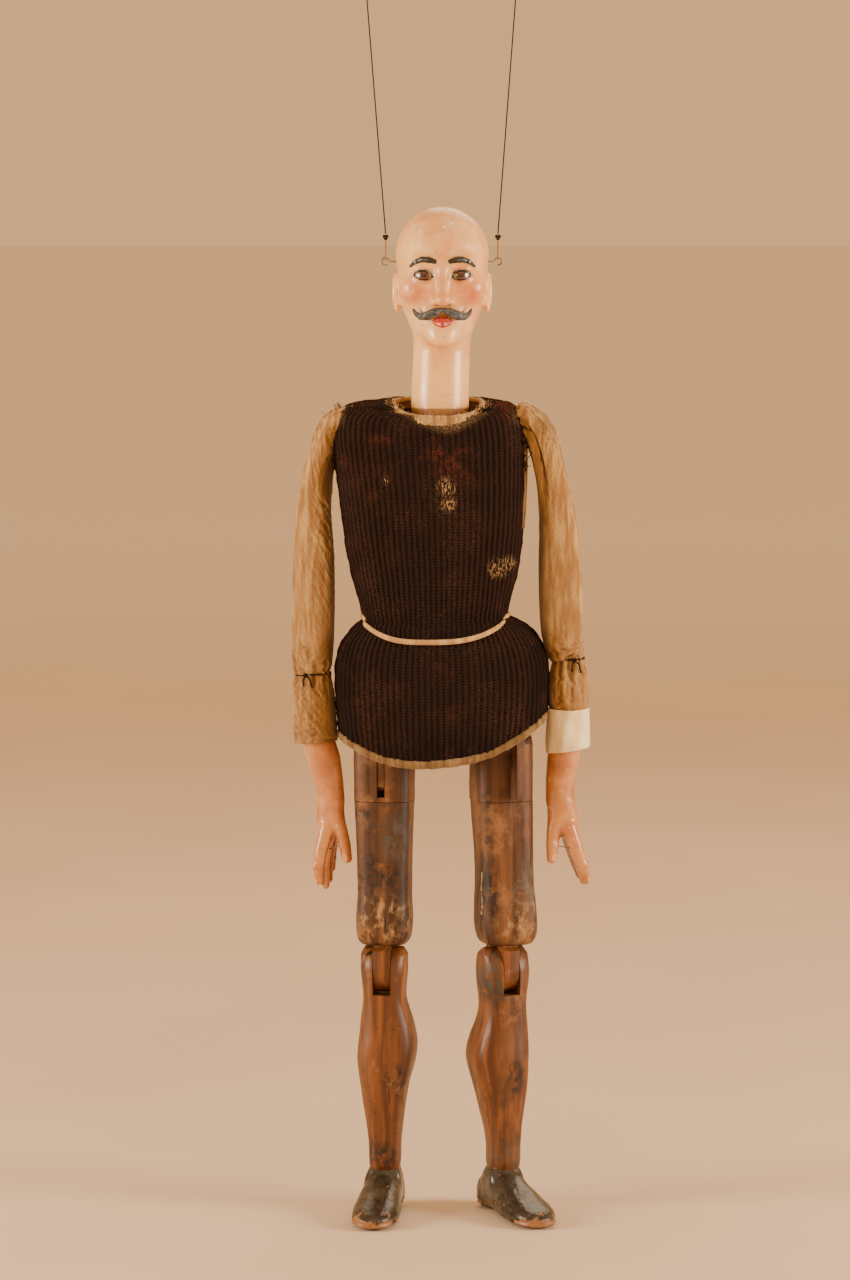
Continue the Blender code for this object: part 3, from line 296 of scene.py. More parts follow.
def knit_material(name):
    """A coarse dark rib knit: its stitches, reddish worn patches, and moth-eaten places with pale threads."""
    p = Paint(name, roughness=0.95, Specular_IOR_Level=0.12, Sheen_Weight=0.25)
    p.shader.inputs["Sheen Tint"].default_value = rgba((120, 70, 62))
    u, v, _ = p.split(p.uv())
    row = p.both(v, 2 * math.pi)
    column = p.both(u, 2 * math.pi)
    lean = p.both(p.math("COSINE", column), 1.5)
    stitch = p.math("SINE", p.plus(row, lean))
    rib = p.math("SINE", column)
    body = p.noise(700.0, 3.0, None, 0.6)
    colour = p.mix(p.ramp(body, 0.3, 0.7), (13, 9, 7), (30, 21, 17))
    # Painted light on the knit's relief: painted highlight on rib tops and stitch crests, painted shade in rib
    # valleys except where the knit is flattened.
    colour = p.mix(p.both(p.ramp(rib, 0.1, 1.0), 0.5), colour, (42, 28, 23))
    flattened = p.ramp(p.noise(34.0, 5.0, None, 0.6), 0.68, 0.34)
    colour = p.mix(p.both(p.ramp(rib, -0.2, -0.9), p.both(flattened, 0.75)), colour, (9, 6, 6))
    colour = p.mix(p.both(p.ramp(stitch, 0.2, 1.0), 0.26), colour, (76, 47, 40))
    pilled = p.ramp(p.noise(1400.0, 4.0, None, 0.7), 0.54, 0.62)
    pilled = p.both(pilled, p.ramp(p.noise(28.0, 4.0), 0.42, 0.62))
    colour = p.mix(p.both(pilled, 0.5), colour, (112, 78, 62))
    # Darker where the darkening value is set: the upper jersey's lowest rows, and the hips' sides and bottom.
    colour = p.mix(p.both(p.attribute("darkening"), 0.75), colour, (13, 10, 9))
    _, _, z = p.split()
    high = p.ramp(z, WAIST + 0.092, WAIST + 0.122)
    red = p.both(p.ramp(p.noise(30.0, 5.0, None, 0.6), 0.5, 0.66), high)
    broken = p.ramp(p.noise(800.0, 4.0, p.scaled(1, 1, 0.5), 0.7), 0.4, 0.62)
    red = p.both(red, broken)
    colour = p.mix(p.both(red, 0.7), colour, (112, 54, 42))
    rust = p.both(p.ramp(p.noise(46.0, 6.0, None, 0.65), 0.56, 0.72), 0.35)
    colour = p.mix(rust, colour, (72, 40, 33))
    moth = p.attribute("moth")
    pale = p.both(p.ramp(p.noise(900.0, 4.0, p.scaled(1, 1, 0.35), 0.7), 0.5, 0.6), moth)
    colour = p.mix(p.both(moth, 0.4), colour, (40, 28, 22))
    colour = p.mix(pale, colour, (186, 152, 108))
    fray = p.attribute("fray")
    speck = p.ramp(p.noise(1200.0, 5.0, None, 0.75), 0.47, 0.56)
    colour = p.mix(p.both(speck, fray), colour, (206, 172, 124))
    height = p.plus(p.both(stitch, 0.5), p.both(body, 0.6))
    height = p.plus(height, p.both(rib, 0.25))
    return p.finish(colour, p.bump(height, 0.75, 0.0009))


def shaded_lining_material():
    """Calico on a hidden block, where only its edge shows, painted much darker than the sleeves' calico as
    painted shade inside the collar.
    """
    p = Paint("lining_calico", roughness=0.93, Specular_IOR_Level=0.15)
    slub = p.noise(600.0, 4.0, p.scaled(1.0, 1.0, 0.3), 0.6)
    grime = p.ramp(p.noise(30.0, 5.0), 0.45, 0.7)
    colour = p.mix(slub, (84, 58, 34), (128, 94, 58))
    return p.finish(p.mix(p.both(grime, 0.6), colour, (60, 42, 26)), p.bump(slub, 0.5, 0.0005))


def metal_material(name, colour):
    """Dull iron wire with rust freckles."""
    p = Paint(name, metallic=1.0)
    rust = p.ramp(p.noise(420.0, 5.0, None, 0.7), 0.52, 0.62)
    tint = p.mix(rust, colour, (92, 62, 44))
    return p.finish(tint, p.bump(p.noise(900.0, 3.0), 0.25, 0.0002), p.ramp(p.noise(300.0), 0.1, 1.2))


def string_material(name, colour, shade):
    """Twisted thread."""
    p = Paint(name, roughness=0.85, Specular_IOR_Level=0.2)
    x, y, z = p.split()
    turn = p.plus(p.both(z, 5200.0), p.both(p.plus(x, y), 3600.0))
    ply = p.math("SINE", turn)
    fuzz = p.noise(1500.0, 3.0)
    tint = p.mix(p.ramp(ply, -0.8, 0.8), shade, colour)
    tint = p.mix(p.both(p.ramp(fuzz, 0.5, 0.7), 0.4), tint, shade)
    return p.finish(tint, p.bump(p.plus(ply, fuzz), 0.8, 0.0002))


# ---- mesh helpers ----


def smooth_rows(sections, rows):
    """Sections resampled to many rows with a Catmull-Rom curve, spaced evenly along the outline."""
    table = np.array(sections, float)
    steps = np.linalg.norm(np.diff(table, axis=0), axis=1)
    at = np.concatenate([[0], np.cumsum(steps)])
    padded = np.vstack([2 * table[0] - table[1], table, 2 * table[-1] - table[-2]])
    result = []
    for s in np.linspace(0, at[-1], rows):
        i = min(int(np.searchsorted(at, s, side="right")) - 1, len(table) - 2)
        t = (s - at[i]) / max(at[i + 1] - at[i], 1e-9)
        p0, p1, p2, p3 = padded[i : i + 4]
        curve = 0.5 * (2 * p1 + (p2 - p0) * t + (2 * p0 - 5 * p1 + 4 * p2 - p3) * t**2
                       + (3 * p1 - p0 - 3 * p2 + p3) * t**3)
        result.append(curve)
    return np.array(result)


def superellipse(half_x, half_y, power, angle):
    """Points of a rounded rectangle at those angles."""
    cos, sin = np.cos(angle), np.sin(angle)
    x = half_x * np.sign(cos) * np.abs(cos) ** (2 / power)
    y = half_y * np.sign(sin) * np.abs(sin) ** (2 / power)
    return x, y


def even_angles(half_x, half_y, power, count):
    """Angles that space points evenly round a rounded rectangle, starting at the back."""
    fine = np.linspace(0, 2 * math.pi, 1440) + math.pi / 2
    x, y = superellipse(half_x, half_y, power, fine)
    run = np.concatenate([[0], np.cumsum(np.hypot(np.diff(x), np.diff(y)))])
    return np.interp(np.linspace(0, run[-1], count, endpoint=False), run, fine)


def grid_faces(rows, count, around=True, flip=False):
    """Quads over a grid of points, closed round each row if it goes around."""
    faces = []
    last = count if around else count - 1
    for r in range(rows - 1):
        low, high = r * count, (r + 1) * count
        for i in range(last):
            j = (i + 1) % count
            if flip:
                faces.append((high + i, high + j, low + j, low + i))
            else:
                faces.append((low + i, low + j, high + j, high + i))
    return faces


def cap_faces(rows, count):
    """The faces that close both ends of a grid."""
    return [tuple(reversed(range(count))), tuple(range((rows - 1) * count, rows * count))]


def band_faces(rows, count, flip=False):
    """Quads over a grid that is closed round each row, and from the last row to the first."""
    faces = []
    for r in range(rows):
        low, high = r * count, (r + 1) % rows * count
        for i in range(count):
            j = (i + 1) % count
            if flip:
                faces.append((low + i, high + i, high + j, low + j))
            else:
                faces.append((low + i, low + j, high + j, high + i))
    return faces


def rim_directions(edge):
    """Level directions out from the middle of a rim, one for each of its points."""
    out = edge - edge.mean(0)
    out[:, 2] = 0
    return out / np.linalg.norm(out, axis=1)[:, None]


def build(name, points, faces, material, sharp=None):
    """A new smooth-shaded object from points and faces."""
    mesh = bpy.data.meshes.new(name)
    mesh.from_pydata(np.asarray(points).tolist(), [], faces)
    mesh.shade_smooth()
    if sharp:
        mesh.set_sharp_from_angle(angle=math.radians(sharp))
    mesh.materials.append(material)
    return add_object(name, mesh)


def set_attribute(obj, name, values):
    """A value for each point of a mesh."""
    layer = obj.data.attributes.new(name, "FLOAT", "POINT")
    layer.data.foreach_set("value", np.asarray(values, np.float32))


def set_uv(obj, u, v, wrap):
    """UVs from a value for each point. A face over the seam has its u carried on past the wrap."""
    layer = obj.data.uv_layers.new(name="UVMap")
    corners = np.zeros(len(obj.data.loops), np.int64)
    obj.data.loops.foreach_get("vertex_index", corners)
    cu, cv = u[corners], v[corners]
    for face in obj.data.polygons:
        span = slice(face.loop_start, face.loop_start + face.loop_total)
        if cu[span].max() - cu[span].min() > wrap / 2:
            cu[span] = np.where(cu[span] < wrap / 2, cu[span] + wrap, cu[span])
    layer.data.foreach_set("uv", np.column_stack([cu, cv]).ravel())


NO_WRAP = 10.0


def ripple(points, scale, seed, octaves=3):
    """Smooth random values in -1..1 at points, made of a few waves in random directions."""
    random = np.random.default_rng(seed)
    total = np.zeros(len(points))
    weight = 0.0
    for octave in range(octaves):
        for _ in range(5):
            direction = random.normal(size=3)
            direction /= np.linalg.norm(direction)
            wave = 2 * math.pi * scale * 2**octave * random.uniform(0.7, 1.3)
            total += np.sin(points @ direction * wave + random.uniform(0, 6.28)) / 2**octave
        weight += 5 / 2**octave
    return total / weight * 1.8


def ride(obj, body, *nodes, slot=None):
    """The piece rides on a body and stands for those nodes."""
    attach(obj, body)
    finish_piece(obj, *nodes, slot=slot)
    return obj


def finish_piece(obj, *nodes, slot=None):
    """The piece stands for those nodes, which are hidden; slot is not used."""
    if nodes:
        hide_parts(*nodes)


def apply_modifiers(obj):
    """The object's mesh becomes what its modifiers make of it."""
    graph = bpy.context.evaluated_depsgraph_get()
    mesh = bpy.data.meshes.new_from_object(obj.evaluated_get(graph))
    obj.modifiers.clear()
    obj.data = mesh


def cut(obj, *cutters):
    """Takes the cutters' shapes out of an object, and removes them."""
    for cutter in cutters:
        modifier = obj.modifiers.new("cut", "BOOLEAN")
        modifier.operation = "DIFFERENCE"
        modifier.object = cutter
    bpy.context.view_layer.update()
    apply_modifiers(obj)
    for cutter in cutters:
        bpy.data.objects.remove(cutter)


def add_cutter(points, faces):
    """A mesh that is only there to be cut away."""
    mesh = bpy.data.meshes.new("cutter")
    mesh.from_pydata([p[:] for p in points], [], faces)
    return add_object("cutter", mesh)


def box_between(low, high, turn):
    """A cutter box between two corners, placed by a matrix."""
    xs, ys, zs = zip(low, high)
    points = [turn @ Vector((x, y, z)) for z in zs for y in ys for x in xs]
    faces = [(0, 2, 3, 1), (4, 5, 7, 6), (0, 1, 5, 4), (2, 6, 7, 3), (0, 4, 6, 2), (1, 3, 7, 5)]
    return add_cutter(points, faces)


def add_run(curve, points, cyclic=False):
    """One more run of wire or thread on a curve."""
    spline = curve.splines.new("POLY")
    spline.points.add(len(points) - 1)
    for place, point in zip(spline.points, points):
        place.co = (*point, 1.0)
    spline.use_cyclic_u = cyclic


def tube(name, points, radius, material, cyclic=False, resolution=3):
    """A round wire or string along points."""
    curve = bpy.data.curves.new(name, "CURVE")
    curve.dimensions = "3D"
    curve.bevel_depth = radius
    curve.bevel_resolution = resolution
    curve.use_fill_caps = True
    add_run(curve, points, cyclic)
    curve.materials.append(material)
    return add_object(name, curve)


# ---- strings ----

STRING = 0.001
STRING_POINTS = 60
STRING_KNOT = 0.002
END_SLICE = 0.0004


def node_ends(name):
    """The middle of a slim node's lowest and highest points."""
    mesh = frame["nodes"][name].data
    points = np.array([v.co for v in mesh.vertices])
    low, high = points[:, 2].min(), points[:, 2].max()
    foot = points[points[:, 2] < low + END_SLICE].mean(0)
    head = points[points[:, 2] > high - END_SLICE].mean(0)
    return Vector(foot), Vector(head)


def make_knot(name, centre, size, material):
    """A small overhand knot: a trefoil of thread pulled tight."""
    points = []
    for t in np.linspace(0, 2 * math.pi, 40, endpoint=False):
        x = math.sin(t) + 1.6 * math.sin(2 * t)
        y = math.cos(t) - 1.6 * math.cos(2 * t)
        z = -1.6 * math.sin(3 * t)
        points.append(Vector(centre) + Vector((x, z, y)) * size / 3.4)
    return tube(name, points, size * 0.42, material, cyclic=True)


def make_strings(dark, pale):
    """Both taut strings, with the knots and loops at their ends."""
    for side in SIDES:
        node = f"{side}_string"
        foot, head = node_ends(node)
        run = [foot.lerp(head, i / STRING_POINTS) for i in range(STRING_POINTS + 1)]
        string = tube(f"{side}_taut_string", run, STRING / 2, dark)
        ride(string, "strings", node)
        low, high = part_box(f"{side}_string_knot")
        knot = make_knot(f"{side}_tied_knot", (low + high) / 2, STRING_KNOT, dark)
        ride(knot, "strings", f"{side}_string_knot")
        for part, paint in (("eye_loop", pale), ("hanging_loop", dark)):
            materials = frame["nodes"][f"{side}_{part}"].data.materials
            materials.clear()
            materials.append(paint)


# ---- torso ----

TORSO_POWER = 2.3
RIB_PITCH = 0.0043
ROW_PITCH = 0.0019
RIB_DEPTH = 0.00036
POINTS_PER_RIB = 7
TURN_IN = 0.0018
WAIST_CLEAR = 0.4268
SKIRT_PROUD = 0.003
TAPE_LOW_X = -0.01
TAPE_REACH = {"right": 0.045, "left": 0.057}
CHEST = [
    # (height above the soles, x, y, half width, half depth)
    (0.427, -0.0034, 0, 0.0515, 0.0318), (0.4345, -0.0036, 0, 0.053, 0.0322),
    (0.446, -0.0038, 0, 0.0558, 0.033), (0.462, -0.004, 0, 0.0592, 0.034),
    (0.48, -0.0045, 0, 0.0622, 0.0352), (0.5, -0.005, 0, 0.0645, 0.036), (0.52, -0.0058, 0, 0.0664, 0.0365),
    (0.54, -0.007, 0, 0.068, 0.0366), (0.556, -0.008, 0, 0.0688, 0.0362),
    (0.568, -0.0085, 0, 0.068, 0.0356), (0.5755, -0.008, 0, 0.065, 0.035),
    (0.58, -0.0065, 0, 0.059, 0.0344), (0.5822, -0.0045, 0, 0.05, 0.0338),
    (0.5824, -0.0025, 0, 0.04, 0.033), (0.5815, -0.0015, 0, 0.0315, 0.0318),
]
PELVIS = [
    (0.327, 0.0015, 0, 0.07, 0.0385), (0.338, 0.0015, 0, 0.0722, 0.04), (0.35, 0.0015, 0, 0.074, 0.0412),
    (0.364, 0.0015, 0, 0.0754, 0.0422), (0.38, 0.0015, 0, 0.0764, 0.0424),
    (0.393, 0.0012, 0, 0.076, 0.0412), (0.403, 0.001, 0, 0.0744, 0.0395), (0.411, 0.001, 0, 0.0715, 0.037),
    (0.418, 0.001, 0, 0.0668, 0.034), (0.424, 0.0005, 0, 0.061, 0.0308),
    (0.4285, -0.0005, 0, 0.054, 0.0265), (0.4315, -0.001, 0, 0.048, 0.0225),
]


MOTH_SPOTS = [
    # (x, height above the soles, size), on the front
    (0.004, 0.524, 0.006), (0.0055, 0.512, 0.005), (0.0405, 0.466, 0.0065), (-0.038, 0.529, 0.0025),
    (0.048, 0.469, 0.005),
]


def body_grid(sections, rows, count):
    """Rows of points over sections, evenly spaced round each row."""
    table = smooth_rows(sections, rows)
    middle = table[len(table) // 2]
    angle = even_angles(middle[3], middle[4], TORSO_POWER, count)
    points = []
    for height, x, y, half_x, half_y in table:
        px, py = superellipse(half_x, half_y, TORSO_POWER, angle)
        points.append(np.column_stack([x + px, y + py, np.full(count, SOLE + height)]))
    return np.array(points)


def grid_normals(points):
    """Outward normals of a closed grid of rows of points."""
    around = np.roll(points, -1, axis=1) - np.roll(points, 1, axis=1)
    along = np.gradient(points, axis=0)
    normal = np.cross(around, along)
    return normal / np.maximum(np.linalg.norm(normal, axis=2, keepdims=True), 1e-12)


def knit_wall(name, points, material, rib_count):
    """A rib-knit tube over a grid of points, with its edges turned in, and UVs that count ribs and rows."""
    rows, count, _ = points.shape
    normal = grid_normals(points)
    ribs = np.arange(count) / count * rib_count
    wave = RIB_DEPTH * np.sin(ribs * 2 * math.pi)
    flat = points.reshape(-1, 3)
    sag = (0.0007 * ripple(flat, 30.0, 11) + 0.0004 * ripple(flat, 90.0, 12)).reshape(rows, count)
    outer = points + normal * (wave[None, :, None] + sag[:, :, None])
    low_lip = outer[0] - normal[0] * TURN_IN
    high_lip = outer[-1] - normal[-1] * TURN_IN
    every = np.concatenate([low_lip[None], outer, high_lip[None]])
    obj = build(name, every.reshape(-1, 3), grid_faces(rows + 2, count), material)
    length = np.linalg.norm(np.diff(every, axis=0), axis=2).mean(1)
    v = np.concatenate([[0], np.cumsum(length)]) / ROW_PITCH
    set_uv(obj, np.tile(ribs, rows + 2), np.repeat(v, count), rib_count)
    return obj, every.reshape(-1, 3)


def rib_total(points):
    """How many whole ribs go round the middle row."""
    middle = points[len(points) // 2]
    return round(np.linalg.norm(np.roll(middle, -1, axis=0) - middle, axis=1).sum() / RIB_PITCH)


def collar_dip(points):
    """The neckline runs lower at the front: rows near the collar come down there."""
    height = points[:, :, 2] - SOLE
    near = np.clip((0.072 - np.hypot(points[:, :, 0] + 0.001, points[:, :, 1] * 1.3)) / 0.045, 0, 1)
    top = np.clip((height - 0.552) / 0.03, 0, 1)
    front = np.clip(-points[:, :, 1] / 0.033, 0, 1) ** 1.3
    points[:, :, 2] -= 0.0155 * near * top * front
    back = np.clip(points[:, :, 1] / 0.033, 0, 1)
    points[:, :, 2] += 0.003 * near * top * back
    return points


def drape_over_hips(points):
    """Keeps the skirt of the upper jersey outside the hips that it hangs over."""
    table = smooth_rows(PELVIS, 200)
    height = points[:, :, 2] - SOLE
    low = height < WAIST_CLEAR
    half_x = np.interp(height, table[:, 0], table[:, 3]) + SKIRT_PROUD
    half_y = np.interp(height, table[:, 0], table[:, 4]) + SKIRT_PROUD
    x = points[:, :, 0] - np.interp(height, table[:, 0], table[:, 1])
    reach = np.abs(x / half_x) ** TORSO_POWER + np.abs(points[:, :, 1] / half_y) ** TORSO_POWER
    reach = reach ** (1 / TORSO_POWER)
    push = np.where(low & (reach < 1), 1 / np.maximum(reach, 0.2), 1.0)
    push = sum(np.roll(push, k, axis=1) for k in range(-6, 7)) / 13
    points[:, :, 1] *= push
    points[:, :, 0] += np.where(push > 1, x * np.minimum(push - 1, 0.06), 0)
    return points


def make_chest(knit):
    """The upper jersey, from the waist tape to the collar."""
    sample = body_grid(CHEST, 20, 200)
    ribs = rib_total(sample)
    points = body_grid(CHEST, 90, ribs * POINTS_PER_RIB)
    edge = np.clip(1 - (points[:, :, 2] - SOLE - 0.427) / 0.03, 0, 1)
    x = points[:, :, 0] - TAPE_LOW_X
    reach = np.where(x > 0, TAPE_REACH["left"], TAPE_REACH["right"])
    belly = 1 - np.minimum(np.abs(x) / reach, 1) ** 3
    points[:, :, 2] += edge * (0.004 - np.where(points[:, :, 1] < 0, 0.016, 0.008) * belly)
    points = collar_dip(points)
    points = drape_over_hips(points)
    jersey, flat = knit_wall("jersey_chest", points, knit, ribs)
    height = flat[:, 2] - SOLE
    moth = np.zeros(len(flat))
    for x, h, size in MOTH_SPOTS:
        away = np.hypot(flat[:, 0] - x, height - h) / size
        moth = np.maximum(moth, np.where(flat[:, 1] < 0, np.clip(1.4 - away, 0, 1), 0))
    hip_back = np.hypot(flat[:, 0] + 0.02, height - 0.5) / 0.008
    moth = np.maximum(moth, np.where(flat[:, 1] > 0, np.clip(1.3 - hip_back, 0, 1), 0))
    set_attribute(jersey, "moth", moth)
    # Darker towards the bottom of the upper jersey.
    set_attribute(jersey, "darkening", 0.5 * np.clip((0.455 - height) / 0.03, 0, 1))
    run = np.linalg.norm(np.diff(points[::-1], axis=0), axis=2).cumsum(0)[::-1]
    run = np.concatenate([run[:1], run, np.zeros((2, run.shape[1]))]).ravel()
    front = np.clip(-flat[:, 1] / 0.02, 0, 1)
    reach = 0.0045 + 0.0085 * front
    fray = np.clip(1.15 - run / reach, 0, 1)
    shoulder = np.clip((np.abs(flat[:, 0] + 0.008) - 0.058) / 0.008, 0, 1)
    shoulder *= np.clip((height - 0.565) / 0.012, 0, 1)
    set_attribute(jersey, "fray", np.maximum(fray, shoulder * 0.8))
    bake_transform(jersey)
    finish_piece(jersey, "jersey_upper")
    return points


def hem_rise(x):
    """How far the hem stands above its lowest point."""
    return 0.03 * np.abs(x / 0.075) ** 2.5 + 0.0065 * x / 0.075


def pelvis_points(rows, count):
    """The pelvis surface, with its lower rows lifted to the hem's line."""
    points = body_grid(PELVIS, rows, count)
    table = smooth_rows(PELVIS, 200)
    low, high = PELVIS[0][0], PELVIS[-1][0]
    for row in points:
        height = row[:, 2] - SOLE
        rise = hem_rise(row[:, 0]) * (1 - (height - low) / (high - low))
        new = height + rise
        for axis, column in ((0, 3), (1, 4)):
            before = np.interp(height, table[:, 0], table[:, column])
            after = np.interp(new, table[:, 0], table[:, column])
            centre = np.interp(height, table[:, 0], table[:, axis + 1])
            row[:, axis] = centre + (row[:, axis] - centre) * after / before
        row[:, 2] = SOLE + new
    return points


def make_pelvis(knit, hem_cloth):
    """The lower jersey and its hem binding."""
    sample = pelvis_points(20, 200)
    ribs = rib_total(sample)
    points = pelvis_points(64, ribs * POINTS_PER_RIB)
    jersey, flat = knit_wall("jersey_hips", points, knit, ribs)
    set_attribute(jersey, "moth", np.zeros(len(flat)))
    set_attribute(jersey, "fray", np.zeros(len(flat)))
    wander = 0.004 * ripple(flat, 25.0, 14)
    side = np.clip((np.abs(flat[:, 0] - 0.002) - 0.058 + wander) / 0.006, 0, 1)
    low = np.clip((0.352 - (flat[:, 2] - SOLE) + wander) / 0.012, 0, 1)
    # Darker at the hips' sides and towards the bottom.
    set_attribute(jersey, "darkening", np.maximum(side, 0.7 * low))
    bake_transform(jersey)
    finish_piece(jersey, "jersey_lower")
    make_binding(points[0], hem_cloth)


BINDING_HEIGHT = 0.0058
BINDING_PROUD = 0.0008


def make_binding(edge, cloth):
    """The folded strip sewn round the hem: a rounded band with little puckers."""
    count = len(edge)
    out = rim_directions(edge)
    around = np.arange(count) / count * 2 * math.pi
    pucker = 0.00012 * np.sin(around * 61) + 0.00016 * np.sin(around * 27 + 1.0)
    profile = []
    for angle in np.linspace(0, 2 * math.pi, 14, endpoint=False):
        swell = 0.5 * (BINDING_HEIGHT + pucker * 2) * math.sin(angle)
        outward = 2.1 * BINDING_PROUD * math.cos(angle) + 0.0003 + pucker * 0.5
        point = edge + out * outward[:, None]
        point[:, 2] += swell + BINDING_HEIGHT * 0.25
        profile.append(point)
    rows = len(profile)
    band = build("hem_band", np.array(profile).reshape(-1, 3), band_faces(rows, count, flip=True), cloth)
    set_uv(band, np.tile(around * 0.06, rows), np.repeat(np.arange(rows) * 0.001, count), 0.06 * 2 * math.pi)
    # Painted shade in the hollows of the puckers, through the fold value.
    set_attribute(band, "fold", np.tile(np.clip(pucker / 0.0004, -1, 1), rows))
    ride(band, "pelvis", "hem_binding")


def make_tape(edge, cloth):
    """The flat tape sewn along the waist edge of the upper jersey."""
    count = len(edge)
    out = rim_directions(edge)
    profile = []
    for angle in np.linspace(0, 2 * math.pi, 12, endpoint=False):
        point = edge + out * (0.0012 * math.cos(angle) + 0.0006)
        point[:, 2] += 0.0019 * math.sin(angle) - 0.0002
        profile.append(point)
    rows = len(profile)
    around = np.arange(count) / count * 2 * math.pi
    band = build("waist_band", np.array(profile).reshape(-1, 3), band_faces(rows, count, flip=True), cloth)
    set_uv(band, np.tile(around * 0.05, rows), np.repeat(np.arange(rows) * 0.0006, count), 0.05 * 2 * math.pi)
    set_attribute(band, "fold", np.zeros(rows * count))
    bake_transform(band)
    finish_piece(band, "waist_tape", "waist_cloth")


# ---- legs ----

THIGH = {
    "right": [
        (0.1945, 0, 0, 0.013, 0.0125), (0.1955, 0, 0, 0.016, 0.015), (0.1985, 0, 0, 0.0182, 0.0174),
        (0.204, 0, 0, 0.0194, 0.0187), (0.212, 0, 0, 0.0199, 0.019), (0.22, 0, 0, 0.0196, 0.019),
        (0.233, 0.0002, 0, 0.0188, 0.0186), (0.26, 0.0002, 0, 0.0194, 0.0188), (0.285, 0, 0, 0.0204, 0.019),
        (0.2984, 0, 0, 0.021, 0.019),
    ],
    "left": [
        (0.1945, 0.0026, 0, 0.014, 0.013), (0.1955, 0.0026, 0, 0.017, 0.0156),
        (0.1985, 0.0026, 0, 0.0194, 0.0174), (0.204, 0.0026, 0, 0.0209, 0.0187),
        (0.212, 0.0022, 0, 0.0213, 0.019), (0.226, 0.0018, 0, 0.0207, 0.019),
        (0.24, 0.0014, 0, 0.0198, 0.0186), (0.26, 0.0008, 0, 0.0198, 0.0186),
        (0.285, -0.0004, 0, 0.0206, 0.019), (0.2984, -0.001, 0, 0.0209, 0.019),
    ],
}
SHIN = {
    "right": [
        (0.03, 0.0003, 0, 0.0105, 0.0098), (0.037, 0.0003, 0, 0.0114, 0.0119),
        (0.051, 0.0003, 0, 0.0117, 0.0122), (0.0655, 0, 0.001, 0.0132, 0.0138),
        (0.08, -0.0004, 0.002, 0.0153, 0.0162), (0.0945, -0.0002, 0.003, 0.0177, 0.0188),
        (0.109, 0.0008, 0.004, 0.0204, 0.021), (0.12, 0.0018, 0.004, 0.0209, 0.0212),
        (0.131, 0.0018, 0.0035, 0.0199, 0.02), (0.142, 0.001, 0.002, 0.018, 0.0182),
        (0.153, 0.0002, 0.0005, 0.0157, 0.0168), (0.16, 0, 0, 0.0154, 0.0166), (0.168, 0, 0, 0.016, 0.0169),
        (0.176, 0, 0, 0.0168, 0.017),
    ],
    "left": [
        (0.03, 0.0008, 0, 0.0105, 0.0098), (0.037, 0.0008, 0, 0.0113, 0.0119),
        (0.05, 0.0008, 0, 0.0116, 0.0122), (0.064, 0.0006, 0.001, 0.0134, 0.0138),
        (0.079, 0.0002, 0.002, 0.0161, 0.0162), (0.094, -0.0006, 0.003, 0.0188, 0.0186),
        (0.108, -0.0018, 0.004, 0.0208, 0.0208), (0.117, -0.002, 0.004, 0.021, 0.021),
        (0.128, -0.001, 0.0035, 0.0194, 0.02), (0.138, 0, 0.002, 0.0172, 0.0182),
        (0.148, 0, 0.0005, 0.0158, 0.0168), (0.157, 0, 0, 0.0162, 0.0166), (0.166, 0, 0, 0.0174, 0.0169),
        (0.176, 0, 0, 0.018, 0.017),
    ],
}
FACE_YAW = {"right": 0.0, "left": math.radians(-7)}
KNEE_H, HIP_H, ANKLE_H = 0.176, 0.33, 0.026
KNEE_SLOT, FORK_SLOT, ANKLE_SLOT = 0.013, 0.0057, 0.0086
PIN_BORE = 0.0019
THROUGH = 0.03


def leg_matrix(side):
    """From the leg's own frame, with z above the soles, to the row frame."""
    hip = JOINTS[f"{side}_hip_swing"]
    return Matrix.Translation((hip.x, hip.y, SOLE)) @ Matrix.Rotation(LEG_YAW[side], 4, "Z")


def round_over(pivot, radius, x, half_width, half_depth):
    """Sections that round a leg's end over its pin."""
    start = math.acos(min(1.0, half_depth / radius))
    sections = []
    for angle in np.linspace(start, math.radians(86), 12):
        corner = 0.003 * max(0.0, math.sin(angle) - 0.7) / 0.3
        sections.append((pivot + radius * math.sin(angle), x, 0, half_width - corner, radius * math.cos(angle)))
    return sections


def carved(name, side, sections, material, power, yaw, seed, rows=120, count=96):
    """A carved wooden limb: a fine loft with knife facets and small dents, capped at both ends."""
    table = smooth_rows(sections, rows)
    angle = even_angles(table[len(table) // 2][3], table[len(table) // 2][4], power, count)
    rings = []
    for height, x, y, half_x, half_y in table:
        px, py = superellipse(half_x, half_y, power, angle)
        tx = px * math.cos(yaw) - py * math.sin(yaw)
        ty = px * math.sin(yaw) + py * math.cos(yaw)
        rings.append(np.column_stack([x + tx, y + ty, np.full(count, height)]))
    points = np.array(rings)
    normal = grid_normals(points)
    flat = points.reshape(-1, 3)
    stretched = flat * (1.0, 1.0, 0.35)
    dents = 0.00022 * ripple(stretched, 60.0, seed) + 0.00012 * ripple(stretched, 170.0, seed + 1)
    ends = np.clip(np.minimum(np.arange(rows), np.arange(rows)[::-1]) / 4.0, 0, 1)
    points = points + normal * (dents.reshape(rows, count) * ends[:, None] - 0.0001)[:, :, None]
    points[:, :, 2] = np.clip(points[:, :, 2], table[0][0], table[-1][0])
    faces = grid_faces(rows, count) + cap_faces(rows, count)
    obj = build(name, points.reshape(-1, 3), faces, material)
    obj.matrix_world = leg_matrix(side)
    return obj


def settle(obj):
    """Puts the object's placing into its mesh, and sharpens its cut edges."""
    obj.data.transform(obj.matrix_world)
    obj.matrix_world = Matrix.Identity(4)
    obj.data.shade_smooth()
    obj.data.set_sharp_from_angle(angle=math.radians(38))


def bore(side, height, radius, half_length):
    """A round cutter across the leg."""
    count = 48
    points = []
    for x in (-half_length, half_length):
        for a in np.linspace(0, 2 * math.pi, count, endpoint=False):
            points.append(Vector((x, radius * math.cos(a), height + radius * math.sin(a))))
    cutter = add_cutter(points, cap_faces(2, count) + grid_faces(2, count))
    cutter.data.flip_normals()
    cutter.matrix_world = leg_matrix(side)
    return cutter


